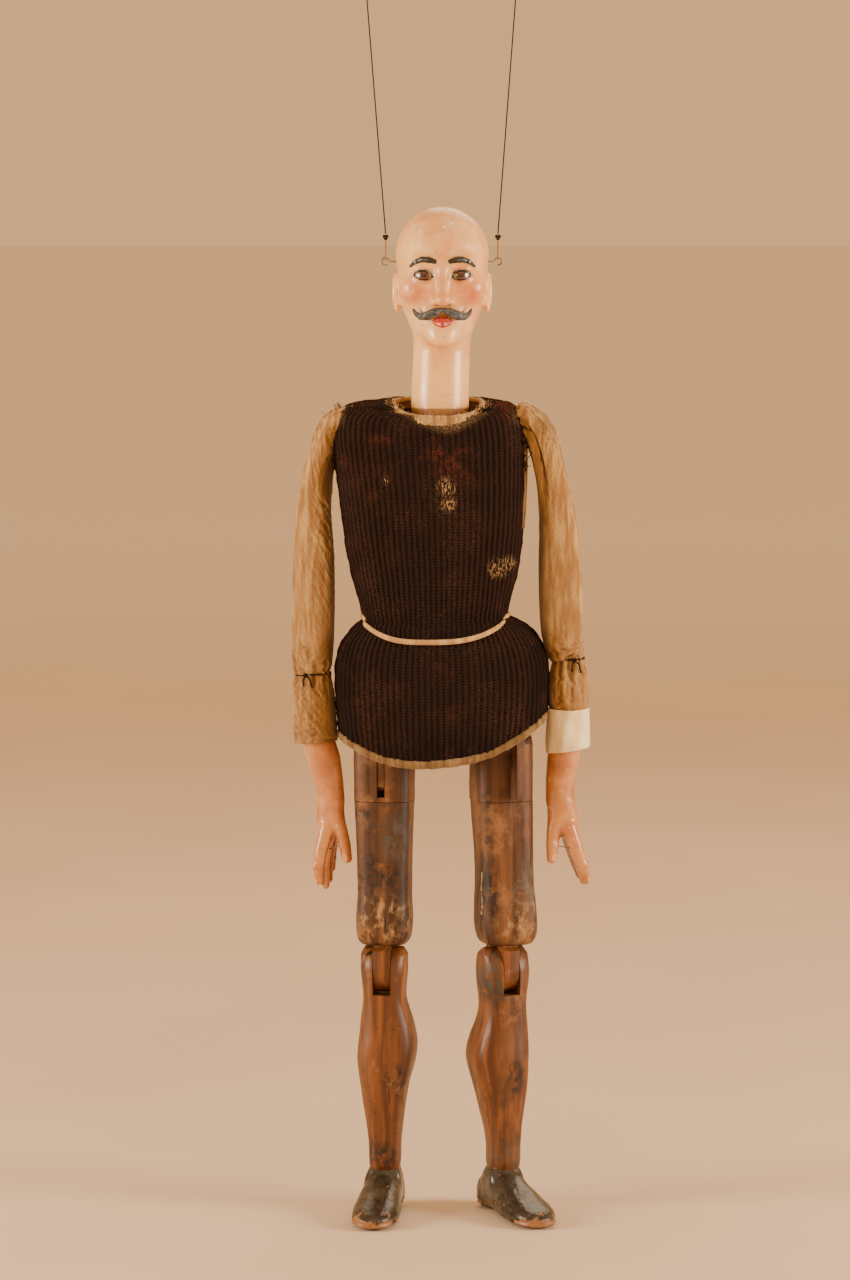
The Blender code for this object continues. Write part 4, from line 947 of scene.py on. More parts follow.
MARKS = {
    # piece: (kind, x, height, half width, half height) on its front
    "right_thigh": [
        ("soot", -0.008, 0.256, 0.005, 0.005), ("soot", 0.008, 0.2835, 0.012, 0.015),
        ("soot", -0.014, 0.289, 0.006, 0.005), ("soot", 0.004, 0.247, 0.015, 0.0095),
        ("grey", 0.0075, 0.276, 0.01, 0.016), ("scuff", 0.0, 0.215, 0.02, 0.015),
    ],
    "left_thigh": [
        ("scuff", 0.015, 0.233, 0.012, 0.012), ("scuff", 0.006, 0.21, 0.016, 0.01),
        ("grey", 0.013, 0.24, 0.011, 0.012), ("soot", 0.018, 0.298, 0.006, 0.003),
        ("soot", -0.016, 0.23, 0.005, 0.025),
    ],
    "right_shin": [
        ("scuff", -0.013, 0.185, 0.004, 0.004), ("soot", 0.01, 0.1, 0.008, 0.008),
        ("soot", 0.0, 0.042, 0.014, 0.008),
    ],
    "left_shin": [
        ("grey", -0.006, 0.18, 0.015, 0.018), ("soot", -0.013, 0.166, 0.009, 0.011),
        ("soot", 0.004, 0.1, 0.006, 0.012), ("grey", 0.0, 0.042, 0.013, 0.008),
    ],
}


def mark(obj, side, piece):
    """Lays the soot, scuff and grey attributes on a leg piece, each an oval on its front."""
    points = np.empty(len(obj.data.vertices) * 3)
    obj.data.vertices.foreach_get("co", points)
    points = points.reshape(-1, 3) - np.array(leg_matrix(side).translation)
    yaw = LEG_YAW[side]
    x = points[:, 0] * math.cos(yaw) + points[:, 1] * math.sin(yaw)
    y = points[:, 1] * math.cos(yaw) - points[:, 0] * math.sin(yaw)
    for kind in ("soot", "scuff", "grey"):
        share = np.zeros(len(points))
        for name, mx, height, wide, tall in MARKS.get(f"{side}_{piece}", []):
            if name == kind:
                away = np.hypot((x - mx) / wide, (points[:, 2] - height) / tall)
                share = np.maximum(share, np.clip(1.6 - away, 0, 1) * (y < 0.004))
        set_attribute(obj, kind, share)


def slot_box(side, half, front, back, low, high):
    """A cutter box in the leg's frame."""
    return box_between((-half, front, low), (half, back, high), leg_matrix(side))


def finish_limb(limb, side, part, body, node, *cutters):
    """Cuts a limb's slots and bores, marks its wear, and puts it on its body."""
    cut(limb, *cutters)
    settle(limb)
    mark(limb, side, part)
    ride(limb, f"{side}_{body}", f"{side}_{node}")


def make_leg(side, thigh_wood, shin_wood, tongue_wood, metal):
    """The fine thigh, fork and shin, standing for their CAD nodes. The tongues and pins stay CAD."""
    seed = 21 if side == "right" else 31
    thigh = carved(f"{side}_carved_thigh", side, THIGH[side], thigh_wood, 3.6, FACE_YAW[side], seed)
    finish_limb(thigh, side, "thigh", "thigh", "thigh",
                slot_box(side, KNEE_SLOT / 2, -0.0132, 0.0132, 0.18, 0.208))
    x = 0.0 if side == "right" else -0.0014
    fork_rows = [(0.2988, x, 0, 0.0212, 0.019)] + round_over(HIP_H, 0.02, x, 0.0212, 0.019)
    fork = carved(f"{side}_carved_fork", side, fork_rows, thigh_wood, 3.6, FACE_YAW[side], seed + 3, rows=70)
    finish_limb(fork, side, "fork", "thigh", "thigh_fork",
                slot_box(side, FORK_SLOT / 2, -THROUGH, THROUGH, 0.302, 0.36),
                bore(side, HIP_H, PIN_BORE, THROUGH))
    rows = SHIN[side] + round_over(KNEE_H, 0.017, 0, SHIN[side][-1][3], 0.0169)[1:]
    shin = carved(f"{side}_carved_shin", side, rows, shin_wood, 2.9, 0.0, seed + 6, rows=150)
    finish_limb(shin, side, "shin", "shin", "shin",
                slot_box(side, KNEE_SLOT / 2, -THROUGH, THROUGH, 0.1592, 0.206),
                bore(side, KNEE_H, PIN_BORE, THROUGH), bore(side, ANKLE_H, 0.0124, THROUGH),
                slot_box(side, ANKLE_SLOT / 2, -0.0094, 0.01, ANKLE_H, 0.058))
    make_tongues(side, thigh_wood, shin_wood)
    for part in ("hip_pin", "knee_pin", "ankle_pin"):
        repaint(f"{side}_{part}", metal)


def plate(name, side, half, outline, material):
    """A flat wooden plate across the leg, from an outline of (y, height) points, with softened edges."""
    count = len(outline)
    ring = np.array(outline)
    centre = ring.mean(0)
    rings = []
    for x, inset in ((-half, 0.0003), (-half + 0.0003, 0.0), (half - 0.0003, 0.0), (half, 0.0003)):
        inward = centre - ring
        inward /= np.linalg.norm(inward, axis=1)[:, None]
        flat = ring + inward * inset
        rings.append(np.column_stack([np.full(count, x), flat]))
    points = np.array(rings).reshape(-1, 3)
    obj = build(name, points, grid_faces(4, count) + cap_faces(4, count), material)
    obj.matrix_world = leg_matrix(side)
    return obj


def arc_below(pivot, radius, front, back, steps=28):
    """Outline points of a disc's lower part about a pin, kept between a front and a back line."""
    points = []
    for angle in np.linspace(0, -math.pi, steps):
        y = min(max(radius * math.cos(angle), -front), back)
        drop = math.sqrt(radius**2 - y**2)
        points.append((y, pivot - (drop if 0 < -angle < math.pi else 0.0)))
    return points


def make_tongue(side, joint, half, outline, wood, height, body):
    """One tongue: a plate with its pin's bore."""
    tongue = plate(f"{side}_{joint}_plate", side, half, outline, wood)
    cut(tongue, bore(side, height, PIN_BORE, THROUGH))
    settle(tongue)
    ride(tongue, f"{side}_{body}", f"{side}_{joint}_tongue")


def make_tongues(side, thigh_wood, shin_wood):
    """The tongues of the hip, knee and ankle, dressed flush with the wood in front."""
    outline = arc_below(HIP_H, 0.0272, 0.0182, 0.0182)
    outline += [(-0.0182, 0.35), (-0.012, 0.354), (0.012, 0.354), (0.0182, 0.35)]
    make_tongue(side, "hip", FORK_SLOT / 2 - 0.0003, outline, thigh_wood, HIP_H, "hip_link")
    outline = arc_below(KNEE_H, 0.0163, 0.0163, 0.0155)
    outline += [(-0.0163, 0.179), (-0.0163, 0.1912), (-0.0128, 0.1936), (-0.0128, 0.207),
                (0.0128, 0.207), (0.0128, 0.1936), (0.0155, 0.1912)]
    make_tongue(side, "knee", KNEE_SLOT / 2 - 0.0004, outline, shin_wood, KNEE_H, "thigh")
    outline = arc_below(ANKLE_H, 0.0092, 0.0092, 0.0092)
    outline += [(-0.0088, 0.0384), (-0.009, 0.0396), (-0.009, 0.0576), (0.0095, 0.0576), (0.0095, 0.04)]
    make_tongue(side, "ankle", ANKLE_SLOT / 2 - 0.0003, outline, shin_wood, ANKLE_H, "shin")


def repaint(node, material):
    """A CAD node that stays gets a detailed material."""
    mesh = frame["nodes"][node].data
    mesh.materials.clear()
    mesh.materials.append(material)
    mesh.shade_smooth()
    mesh.set_sharp_from_angle(angle=math.radians(30))


# ---- sculpting ----


class Ball:
    """An ellipsoid, in millimetres."""

    def __init__(self, centre, radii):
        self.centre = np.array(centre, float)
        self.radii = np.array(radii if np.ndim(radii) else [radii] * 3, float)
        self.low, self.high = self.centre - self.radii, self.centre + self.radii

    def distance(self, x, y, z):
        u, v, w = x - self.centre[0], y - self.centre[1], z - self.centre[2]
        a, b, c = self.radii
        near = np.sqrt((u / a) ** 2 + (v / b) ** 2 + (w / c) ** 2)
        slope = np.sqrt((u / a**2) ** 2 + (v / b**2) ** 2 + (w / c**2) ** 2)
        return near * (near - 1) / np.maximum(slope, 1e-6)


class Strand:
    """A chain of tapered round-ended rods through points (x, y, z, radius), in millimetres."""

    def __init__(self, *points):
        self.points = np.array(points, float)
        reach = self.points[:, 3:]
        self.low = (self.points[:, :3] - reach).min(0)
        self.high = (self.points[:, :3] + reach).max(0)

    def distance(self, x, y, z):
        best = None
        for (ax, ay, az, ar), (bx, by, bz, br) in zip(self.points[:-1], self.points[1:]):
            ux, uy, uz = bx - ax, by - ay, bz - az
            along = ((x - ax) * ux + (y - ay) * uy + (z - az) * uz) / (ux * ux + uy * uy + uz * uz)
            t = np.clip(along, 0, 1)
            away = np.sqrt((x - ax - t * ux) ** 2 + (y - ay - t * uy) ** 2 + (z - az - t * uz) ** 2)
            near = away - (ar + (br - ar) * t)
            best = near if best is None else np.minimum(best, near)
        return best


class EyeOpening:
    """The almond between the lids, cut straight back from the front, in millimetres."""

    def __init__(self, side, grow=0.0):
        self.side = side
        self.grow = grow
        self.low = np.array([side * EYE_X - 9.0, -60.0, EYE_Z - 7.0])
        self.high = np.array([side * EYE_X + 9.0, EYE_FLOOR, EYE_Z + 7.0])

    def flat(self, x, z):
        """Distance to the almond's outline, in front view."""
        u = x - self.side * EYE_X
        tilt = u * self.side * 0.06
        upper = np.hypot(u, z - tilt - EYE_Z + 6.2) - 9.0
        lower = np.hypot(u, z - tilt - EYE_Z - 7.2) - 10.2
        return np.maximum(upper, lower) - self.grow

    def distance(self, x, y, z):
        return np.maximum(self.flat(x, z), y - EYE_FLOOR)


def soft_least(a, b, soft):
    """The lesser of two distances, rounded where they cross."""
    if not soft:
        return np.minimum(a, b)
    overlap = np.maximum(soft - np.abs(a - b), 0)
    return np.minimum(a, b) - overlap**2 / (4 * soft)


class Clay:
    """A shape sculpted on a grid of signed distances, in millimetres about a place."""

    BAND = 3.0

    def __init__(self, low, high, step):
        self.step = step
        self.axes = [np.arange(a, b, step) for a, b in zip(low, high)]
        self.field = np.full([len(axis) for axis in self.axes], 1e3, np.float32)

    def near(self, shape, soft):
        """The part of the grid that a shape can change."""
        margin = soft + self.BAND + 2 * self.step
        cuts, grid = [], []
        for i, axis in enumerate(self.axes):
            first = int(np.searchsorted(axis, shape.low[i] - margin))
            last = int(np.searchsorted(axis, shape.high[i] + margin))
            cuts.append(slice(first, last))
            view = [1, 1, 1]
            view[i] = last - first
            grid.append(axis[first:last].reshape(view).astype(np.float32))
        return tuple(cuts), grid

    def add(self, shape, soft=0.0):
        cuts, grid = self.near(shape, soft)
        self.field[cuts] = soft_least(self.field[cuts], shape.distance(*grid), soft)

    def carve(self, shape, soft=0.0):
        cuts, grid = self.near(shape, soft)
        self.field[cuts] = -soft_least(-self.field[cuts], shape.distance(*grid), soft)

    def surface(self):
        """The shape's points, in millimetres, and its quads."""
        grid = openvdb.FloatGrid(self.BAND)
        grid.copyFromArray(np.clip(self.field, -self.BAND, self.BAND))
        points, quads = grid.convertToQuads(0.0)
        start = np.array([axis[0] for axis in self.axes])
        points = start + points * self.step
        a, b, c = (points[quads[:, i]] for i in range(3))
        if np.einsum("ij,ij->", a, np.cross(b, c)) < 0:
            quads = quads[:, ::-1]
        return points, quads


def model(name, clay, place, material):
    """An object from sculpted clay at a place, and its points in the clay's millimetres."""
    points, quads = clay.surface()
    obj = build(name, points * MM + np.array(place), quads.tolist(), material)
    return obj, points


# ---- head ----

HEAD_PLACE = Vector((0.0015, 0.0025, SOLE + 0.672))
NECK_PLACE = (-1.5, -2.5)
EYE_X, EYE_Y, EYE_Z = 13.0, -28.2, 0.0
EYE_RADIUS = 7.4
EYE_FLOOR = -31.0
HEAD_STEP = 0.6


def moustache(side):
    """Half of the moustache."""
    return Strand((side * 1.6, -43.0, -24.0, 1.9), (side * 5.5, -43.0, -25.6, 3.2),
                  (side * 10.5, -40.8, -27.8, 3.5), (side * 15.0, -37.4, -28.6, 2.7),
                  (side * 18.6, -34.0, -26.6, 1.7), (side * 20.4, -32.2, -23.8, 0.9))


def brow(side):
    """One eyebrow."""
    return Strand((side * 5.4, -37, 9.8, 1.5), (side * 9.5, -37, 11.0, 2.1), (side * 14.0, -35, 11.2, 2.0),
                  (side * 18.6, -31, 9.6, 1.5), (side * 22.4, -27, 6.4, 0.8))


LIPS = [
    Strand((-6.6, -37.4, -32.0, 0.9), (-2.6, -40.0, -30.7, 1.9), (0.0, -40.2, -31.2, 1.6),
           (2.6, -40.0, -30.7, 1.9), (6.6, -37.4, -32.0, 0.9)),
    Strand((-5.2, -37.6, -33.6, 1.1), (0.0, -39.6, -34.6, 2.4), (5.2, -37.6, -33.6, 1.1)),
]


def skull(clay):
    """The head's main masses, from the crown to the foot of the neck."""
    clay.add(Ball((0, 4, 14), (33.2, 39.0, 33.8)))
    clay.add(Ball((0, -6, -10), (29.8, 31.5, 37.0)), 8)
    clay.add(Ball((0, 14, -12), (27.0, 26.0, 28.0)), 8)
    clay.add(Ball((0, -15, -33), (20.5, 21.5, 16.5)), 8)
    clay.add(Ball((0, -30.5, -43.5), (9.0, 7.0, 6.5)), 6)
    for side in (-1.0, 1.0):
        clay.add(Ball((side * 19.5, -22, -9), (10.5, 10.5, 10.0)), 8)
    x, y = NECK_PLACE
    clay.add(Strand((x, y, -125, 20.5), (x, y, -84, 20.4), (x * 0.5, y + 1, -62, 20.0),
                    (0, y + 3, -40, 20.0)), 7)


def features(clay):
    """Nose, brows, lids, lips, ears and moustache."""
    clay.add(Strand((-17, -30.5, 9.5, 4.0), (0, -34.0, 8.0, 3.6), (17, -30.5, 9.5, 4.0)), 6)
    for side in (-1.0, 1.0):
        clay.carve(Ball((side * 12.6, -41.5, 1.0), (9.0, 8.0, 6.6)), 4)
        clay.add(Ball((side * EYE_X, EYE_Y, EYE_Z), EYE_RADIUS + 1.0), 2.0)
        clay.carve(EyeOpening(side), 0.3)
    clay.add(Strand((0, -35.0, 5.5, 2.6), (0, -40.0, -7.0, 3.1), (0, -43.6, -16.0, 4.2)), 4)
    clay.add(Ball((0, -45.0, -17.0), (4.6, 4.4, 4.2)), 2.5)
    for side in (-1.0, 1.0):
        clay.add(Ball((side * 5.6, -40.0, -18.2), (3.3, 4.2, 3.2)), 2.0)
        clay.carve(Ball((side * 3.0, -42.6, -21.2), (1.5, 1.9, 1.3)), 0.6)
        clay.carve(Strand((side * 8.6, -37.5, -19.0, 0.5), (side * 12.0, -35.0, -27.0, 0.4)), 2.0)
    clay.carve(Strand((0, -42.5, -22.0, 0.8), (0, -42.5, -28.0, 1.0)), 2.0)
    for lip in LIPS:
        clay.add(lip, 1.6)
    clay.carve(Strand((-7.0, -39.6, -32.6, 0.35), (0, -42.6, -32.4, 0.45), (7.0, -39.6, -32.6, 0.35)), 0.7)
    clay.carve(Ball((0, -40.5, -39.5), (6.0, 2.6, 1.9)), 3.0)
    for side in (-1.0, 1.0):
        clay.add(brow(side), 0.8)
        clay.add(moustache(side), 0.8)
        ear(clay, side)


def ear(clay, side):
    """A simple carved ear: a leaf with a rolled rim, a hollow and a lobe."""
    clay.add(Ball((side * 29.5, 5.0, -12.5), (4.4, 7.5, 10.5)), 2.5)
    clay.add(Ball((side * 31.6, 6.5, -12.0), (2.9, 7.2, 12.0)), 1.5)
    clay.carve(Ball((side * 35.6, 5.5, -11.0), (2.6, 3.8, 7.2)), 1.2)
    rim = []
    for angle in np.radians(np.linspace(-60, 215, 16)):
        y = 6.5 + 6.4 * math.cos(angle)
        rim.append((side * (31.4 + 0.22 * y), y, -11.4 + 11.4 * math.sin(angle), 1.3))
    clay.add(Strand(*rim), 1.0)
    clay.add(Ball((side * 32.0, 3.6, -23.0), (2.0, 3.2, 3.2)), 1.5)
    clay.add(Ball((side * 32.0, -0.6, -12.4), (1.8, 1.8, 2.6)), 1.2)


def front_only(distance, y):
    """Keeps a painted mark off the back of the head."""
    return np.where(y < -14, distance, 20.0)


def paint_head(obj, points):
    """Distances, in millimetres, from which the paint is laid on."""
    x, y, z = points.T
    flat_brows = [Strand(*[(bx, 0, bz, r) for bx, _, bz, r in brow(s).points]) for s in (-1.0, 1.0)]
    brows = np.minimum(*[flat.distance(x, 0 * y, z) for flat in flat_brows])
    set_attribute(obj, "brow", front_only(brows, y))
    set_attribute(obj, "moustache", np.minimum(*[moustache(s).distance(x, y, z) for s in (-1.0, 1.0)]))
    set_attribute(obj, "lips", np.minimum(*[lip.distance(x, y, z) for lip in LIPS]))
    lids = np.minimum(*[EyeOpening(s).flat(x, z) for s in (-1.0, 1.0)])
    set_attribute(obj, "lids", front_only(lids, y))
    set_attribute(obj, "upper", np.clip((z - EYE_Z - 0.5) / 1.5, 0, 1))
    depth = ((y + 27.0) / 15.0) ** 2 + ((z + 13.0) / 9.0) ** 2
    cheeks = [np.exp(-(((x - s * 20.0) / 8.5) ** 2 + depth)) for s in (-1.0, 1.0)]
    tip = 0.35 * np.exp(-(x**2 + (y + 46) ** 2 + (z + 16) ** 2) / 30.0)
    set_attribute(obj, "blush", cheeks[0] + cheeks[1] + tip)
    crown = np.clip((z - 20) / 14, 0, 1) * np.clip((8 - y) / 30, 0, 1)
    middle = np.exp(-((x / 9) ** 2 + ((z - 8) / 12) ** 2)) * (y < -20)
    set_attribute(obj, "worn", np.clip(crown + 0.8 * middle, 0, 1))
    set_attribute(obj, "bare", np.clip((-93.5 - z) / 1.0 + 0.5, 0, 1))


def head_material():
    """Old glossy oil paint on carved wood: flesh, blush, painted features, flakes and fine cracks."""
    p = Paint("head_paint", roughness=0.34, Specular_IOR_Level=0.5, Coat_Weight=0.35, Coat_Roughness=0.2)
    p.shader.inputs["Subsurface Weight"].default_value = 0.05
    p.shader.inputs["Subsurface Radius"].default_value = (0.004, 0.002, 0.001)
    tone = p.noise(34.0, 5.0, None, 0.6)
    colour = p.mix(p.ramp(tone, 0.3, 0.7), (230, 160, 92), (250, 202, 134))
    _, _, z = p.split()
    low = p.ramp(z, SOLE + 0.625, SOLE + 0.6)
    colour = p.mix(p.both(low, 0.7), colour, (252, 204, 132))
    blush = p.both(p.attribute("blush"), p.ramp(p.noise(120.0, 4.0), 0.1, 0.6))
    colour = p.mix(blush, colour, (210, 88, 40))
    veins = p.ramp(p.noise(160.0, 6.0, None, 0.7, 0.8), 0.56, 0.64)
    colour = p.mix(p.both(veins, 0.28), colour, (160, 110, 70))
    lids = p.attribute("lids")
    shadow = p.ramp(lids, 4.2, 0.4)
    colour = p.mix(p.both(shadow, 0.42), colour, (150, 92, 66))
    colour = p.mix(p.ramp(p.attribute("lips"), 0.45, 0.15), colour, (186, 44, 34))
    wobble = p.both(p.noise(420.0, 3.0), 0.5)
    width = p.plus(0.75, p.both(p.attribute("upper"), 0.85))
    edge = p.less(p.plus(lids, wobble), width)
    colour = p.mix(p.ramp(edge, 0.25, 0.0), colour, (30, 24, 24))
    streak = p.ramp(p.noise(700.0, 3.0, p.scaled(0.35, 1.0, 1.6), 0.6), 0.35, 0.7)
    hair = p.mix(streak, (30, 32, 36), (92, 98, 104))
    rough_edge = p.both(p.less(p.noise(500.0, 4.0), 0.5), 1.1)
    brows = p.ramp(p.plus(p.attribute("brow"), rough_edge), 0.35, 0.05)
    colour = p.mix(brows, colour, p.mix(p.both(streak, 0.4), (24, 24, 28), (60, 62, 68)))
    whiskers = p.ramp(p.plus(p.attribute("moustache"), rough_edge), 0.45, 0.15)
    colour = p.mix(whiskers, colour, hair)
    flake = p.both(p.ramp(p.noise(85.0, 8.0, None, 0.68), 0.575, 0.59), p.attribute("worn"))
    rim = p.both(p.ramp(p.noise(85.0, 8.0, None, 0.68), 0.555, 0.575), p.attribute("worn"))
    colour = p.mix(p.both(rim, 0.6), colour, (176, 128, 80))
    colour = p.mix(flake, colour, (246, 228, 196))
    pits = p.both(p.ramp(p.dots(240.0), 0.1, 0.06), p.ramp(p.noise(26.0), 0.5, 0.58))
    colour = p.mix(p.both(pits, 0.75), colour, (116, 72, 40))
    bare = p.attribute("bare")
    grain = p.noise(300.0, 4.0, p.scaled(1.0, 1.0, 0.1), 0.6)
    colour = p.mix(bare, colour, p.mix(grain, (132, 84, 42), (176, 122, 66)))
    height = p.less(p.both(tone, 0.3), p.either(flake, pits))
    height = p.plus(height, p.both(whiskers, p.both(streak, 0.9)))
    height = p.plus(height, p.both(p.noise(380.0, 4.0), 0.16))
    rough = p.plus(p.ramp(p.noise(60.0, 4.0), -0.6, 2.2), p.both(p.either(bare, flake), 0.35))
    return p.finish(colour, p.bump(height, 0.45, 0.0005), rough)


def eye_material():
    """A brown glass eye, looking along -Y."""
    p = Paint("eye_glass", roughness=0.12, Coat_Weight=1.0, Coat_Roughness=0.04)
    x, y, z = p.split()
    across = p.math("SQRT", p.plus(p.both(x, x), p.both(z, z)))
    rays = p.noise(900.0, 3.0)
    white = p.mix(p.ramp(p.noise(260.0, 4.0), 0.45, 0.7), (196, 182, 164), (168, 140, 120))
    iris = p.mix(rays, (58, 30, 16), (122, 72, 36))
    colour = p.mix(p.ramp(across, 0.00375, 0.00355), white, (26, 16, 12))
    colour = p.mix(p.ramp(across, 0.00335, 0.0031), colour, iris)
    colour = p.mix(p.ramp(across, 0.00165, 0.0015), colour, (8, 6, 6))
    return p.finish(colour, p.bump(rays, 0.05, 0.0001))


def make_eye(side, material):
    """A glass eye: rings about the gaze, with the clear dome a little proud."""
    rows, count = 40, 48
    points = []
    for angle in np.linspace(0.02, math.pi - 0.02, rows):
        dome = 0.35 * max(0.0, 1 - (angle / math.radians(30)) ** 2)
        for turn in np.linspace(0, 2 * math.pi, count, endpoint=False):
            reach = EYE_RADIUS + dome
            points.append((reach * math.sin(angle) * math.cos(turn) * MM, -reach * math.cos(angle) * MM,
                           reach * math.sin(angle) * math.sin(turn) * MM))
    low, high = cap_faces(rows, count)
    faces = [low[::-1], *grid_faces(rows, count), high[::-1]]
    name = "right_glass_eye" if side < 0 else "left_glass_eye"
    eye = build(name, points, faces, material)
    eye.location = HEAD_PLACE + Vector((side * EYE_X, EYE_Y, EYE_Z)) * MM
    ride(eye, "head", slot="head")


def make_head(paint, glass):
    """The carved and painted head with its two glass eyes."""
    clay = Clay((-44, -52, -107), (44, 50, 51), HEAD_STEP)
    skull(clay)
    features(clay)
    foot = clay.axes[2] < -106.0
    clay.field[:, :, foot] = np.maximum(clay.field[:, :, foot], 1.0)
    head, points = model("carved_head", clay, HEAD_PLACE, paint)
    paint_head(head, points)
    ride(head, "head", "head")
    for side in (-1.0, 1.0):
        make_eye(side, glass)


# ---- hands ----

HAND_STEP = 0.5
FINGERS = {
    "right": [
        [(-81.0, -4.0, 279, 5.0), (-85.5, -5.5, 262, 4.2), (-87.2, -5.0, 251, 3.9), (-86.6, -3.0, 240.5, 3.2)],
        [(-79.0, -1.0, 279, 5.0), (-82.0, -1.5, 260, 4.0), (-82.8, -1.0, 249, 3.7), (-82.0, 0.5, 236.8, 3.1)],
        [(-77.5, 3.5, 279, 5.0), (-79.0, 4.0, 261, 3.8), (-80.0, 4.5, 250, 3.5), (-79.6, 5.0, 240.5, 2.9)],
        [(-76.5, 7.0, 279, 4.4), (-76.8, 9.0, 264, 3.3), (-77.4, 9.6, 255, 3.0), (-77.4, 9.6, 247.5, 2.5)],
    ],
    "left": [
        [(92.5, -4.0, 279, 5.2), (98.0, -4.0, 263, 4.6), (101.6, -3.0, 252, 4.1), (104.4, -1.0, 240.8, 3.3)],
        [(91.5, -0.5, 279, 5.0), (96.6, 0.5, 262, 4.2), (100.2, 1.5, 251, 3.8), (103.2, 3.0, 239.8, 3.1)],
        [(90.0, 3.5, 279, 5.0), (94.6, 5.0, 262, 3.9), (97.8, 6.5, 252, 3.5), (100.4, 7.5, 243.0, 2.9)],
        [(88.5, 7.0, 279, 4.4), (92.2, 9.5, 265, 3.4), (94.8, 10.6, 257, 3.1), (96.8, 11.2, 249.5, 2.5)],
    ],
}
THUMB = {
    "right": [(-75.5, -1.0, 290, 6.0), (-71.0, -2.5, 277, 4.9), (-68.0, -3.0, 266, 4.3),
              (-66.4, -3.2, 256.4, 3.6)],
    "left": [(84.5, -1.0, 290, 6.4), (81.2, -2.5, 277, 5.0), (80.2, -3.2, 266, 4.4),
             (80.0, -3.2, 256.4, 3.7)],
}
FOREARM = {
    "right": [(-88.8, 0, 366, 8.0), (-88.2, 0, 356, 10.4), (-87.0, 0, 342, 11.4), (-82.6, 0, 327, 11.8),
              (-79.4, 0, 312, 10.4), (-77.6, 0, 299, 9.6)],
    "left": [(91.7, 0, 376, 9.0), (91.3, 0, 358, 10.8), (90.0, 0, 342, 12.0), (87.6, 0, 327, 11.2),
             (85.8, 0, 312, 10.4), (85.6, 0, 299, 10.2)],
}
PALM = {"right": (-78.6, 0.5, 284.5), "left": (88.2, 0.5, 284.5)}
PALM_HALF = {"right": 9.6, "left": 10.6}
HAND_ROOM = {"right": ((-101, -15, 228), (-57, 18, 378)), "left": ((70, -15, 228), (114, 18, 382))}
ARM_DEPTH = 0.88
FINGER_WIRE = 0.0004
NAIL = {"right": -1.0, "left": 1.0}


class Flattened:
    """A shape pressed thinner along y."""

    def __init__(self, shape, depth):
        self.shape, self.depth = shape, depth
        self.low, self.high = shape.low, shape.high

    def distance(self, x, y, z):
        return self.shape.distance(x, y / self.depth, z) * self.depth


def make_hand(side, paint, metal):
    """A carved forearm and hand, its fingers hanging together and its thumb apart."""
    arm = Flattened(Strand(*FOREARM[side]), ARM_DEPTH)
    clay = Clay(*HAND_ROOM[side], HAND_STEP)
    clay.add(arm)
    clay.add(Ball(PALM[side], (PALM_HALF[side], 8.2, 13.5)), 7)
    digits = [Strand(*points) for points in FINGERS[side]]
    for digit in digits:
        clay.add(digit, 1.6)
    thumb = Strand(*THUMB[side])
    clay.add(thumb, 3.0)
    nails = []
    for points in FINGERS[side] + [THUMB[side]]:
        (ax, ay, az, _), (x, y, z, r) = points[-2:]
        front = -1.0 if points is THUMB[side] else -0.55
        nails.append(Ball((x + NAIL[side] * r * 0.55, y + front * r * 0.72, z + 0.8),
                          (r * 0.62, r * 0.5, r * 0.9)))
        clay.add(Ball((ax + NAIL[side] * 0.8, ay - 0.4, az), (3.9, 3.9, 3.2)), 1.0)
    hand, flat = model(f"{side}_carved_hand", clay, (0, 0, SOLE), paint)
    x, y, z = flat.T
    near = np.sort([d.distance(x, y, z) for d in digits + [thumb]], axis=0)
    # Painted shade where two fingers come close.
    crease_shade = np.clip(1 - (near[1] - near[0]) / 1.4, 0, 1) * (near[0] < 2)
    set_attribute(hand, "crease_shade", crease_shade * np.clip((278 - z) / 6, 0, 1))
    set_attribute(hand, "nail", np.min([n.distance(x, y, z) for n in nails], axis=0))
    ride(hand, f"{side}_forearm", f"{side}_forearm_hand")
    start, end = np.array(THUMB[side][2][:3]), np.array(FINGERS[side][0][1][:3])
    points = [Vector(start + (end - start) * t) * MM + Vector((0, 0, SOLE)) for t in np.linspace(0, 1, 8)]
    wire = tube(f"{side}_finger_wire", points, FINGER_WIRE, metal)
    ride(wire, f"{side}_forearm", f"{side}_hand_wire")


def hand_material():
    """Glossy brown-pink paint, with painted shade between the fingers, and small chips."""
    p = Paint("hand_paint", roughness=0.3, Coat_Weight=0.3, Coat_Roughness=0.2)
    tone = p.noise(60.0, 5.0, None, 0.6)
    colour = p.mix(p.ramp(tone, 0.3, 0.7), (176, 108, 58), (208, 144, 88))
    red = p.ramp(p.noise(46.0, 4.0, None, 0.6), 0.52, 0.7)
    colour = p.mix(p.both(red, 0.5), colour, (178, 92, 50))
    colour = p.mix(p.both(p.ramp(p.attribute("nail"), 0.5, 0.1), 0.55), colour, (230, 176, 128))
    line = p.both(p.ramp(p.attribute("nail"), 0.75, 0.5), p.ramp(p.attribute("nail"), 0.2, 0.45))
    colour = p.mix(p.both(line, 0.6), colour, (120, 62, 36))
    # Painted shade between the fingers.
    colour = p.mix(p.both(p.attribute("crease_shade"), 0.85), colour, (92, 42, 26))
    chips = p.both(p.ramp(p.noise(240.0, 6.0, None, 0.7), 0.63, 0.645), p.ramp(p.noise(30.0), 0.45, 0.6))
    colour = p.mix(chips, colour, (236, 206, 160))
    pits = p.both(p.ramp(p.dots(260.0), 0.09, 0.05), p.ramp(p.noise(40.0), 0.5, 0.6))
    colour = p.mix(pits, colour, (84, 46, 26))
    height = p.less(p.both(tone, 0.4), p.either(chips, pits))
    rough = p.ramp(p.noise(70.0, 4.0), -0.5, 2.4)
    return p.finish(colour, p.bump(height, 0.4, 0.0004), rough)


# ---- sleeves ----

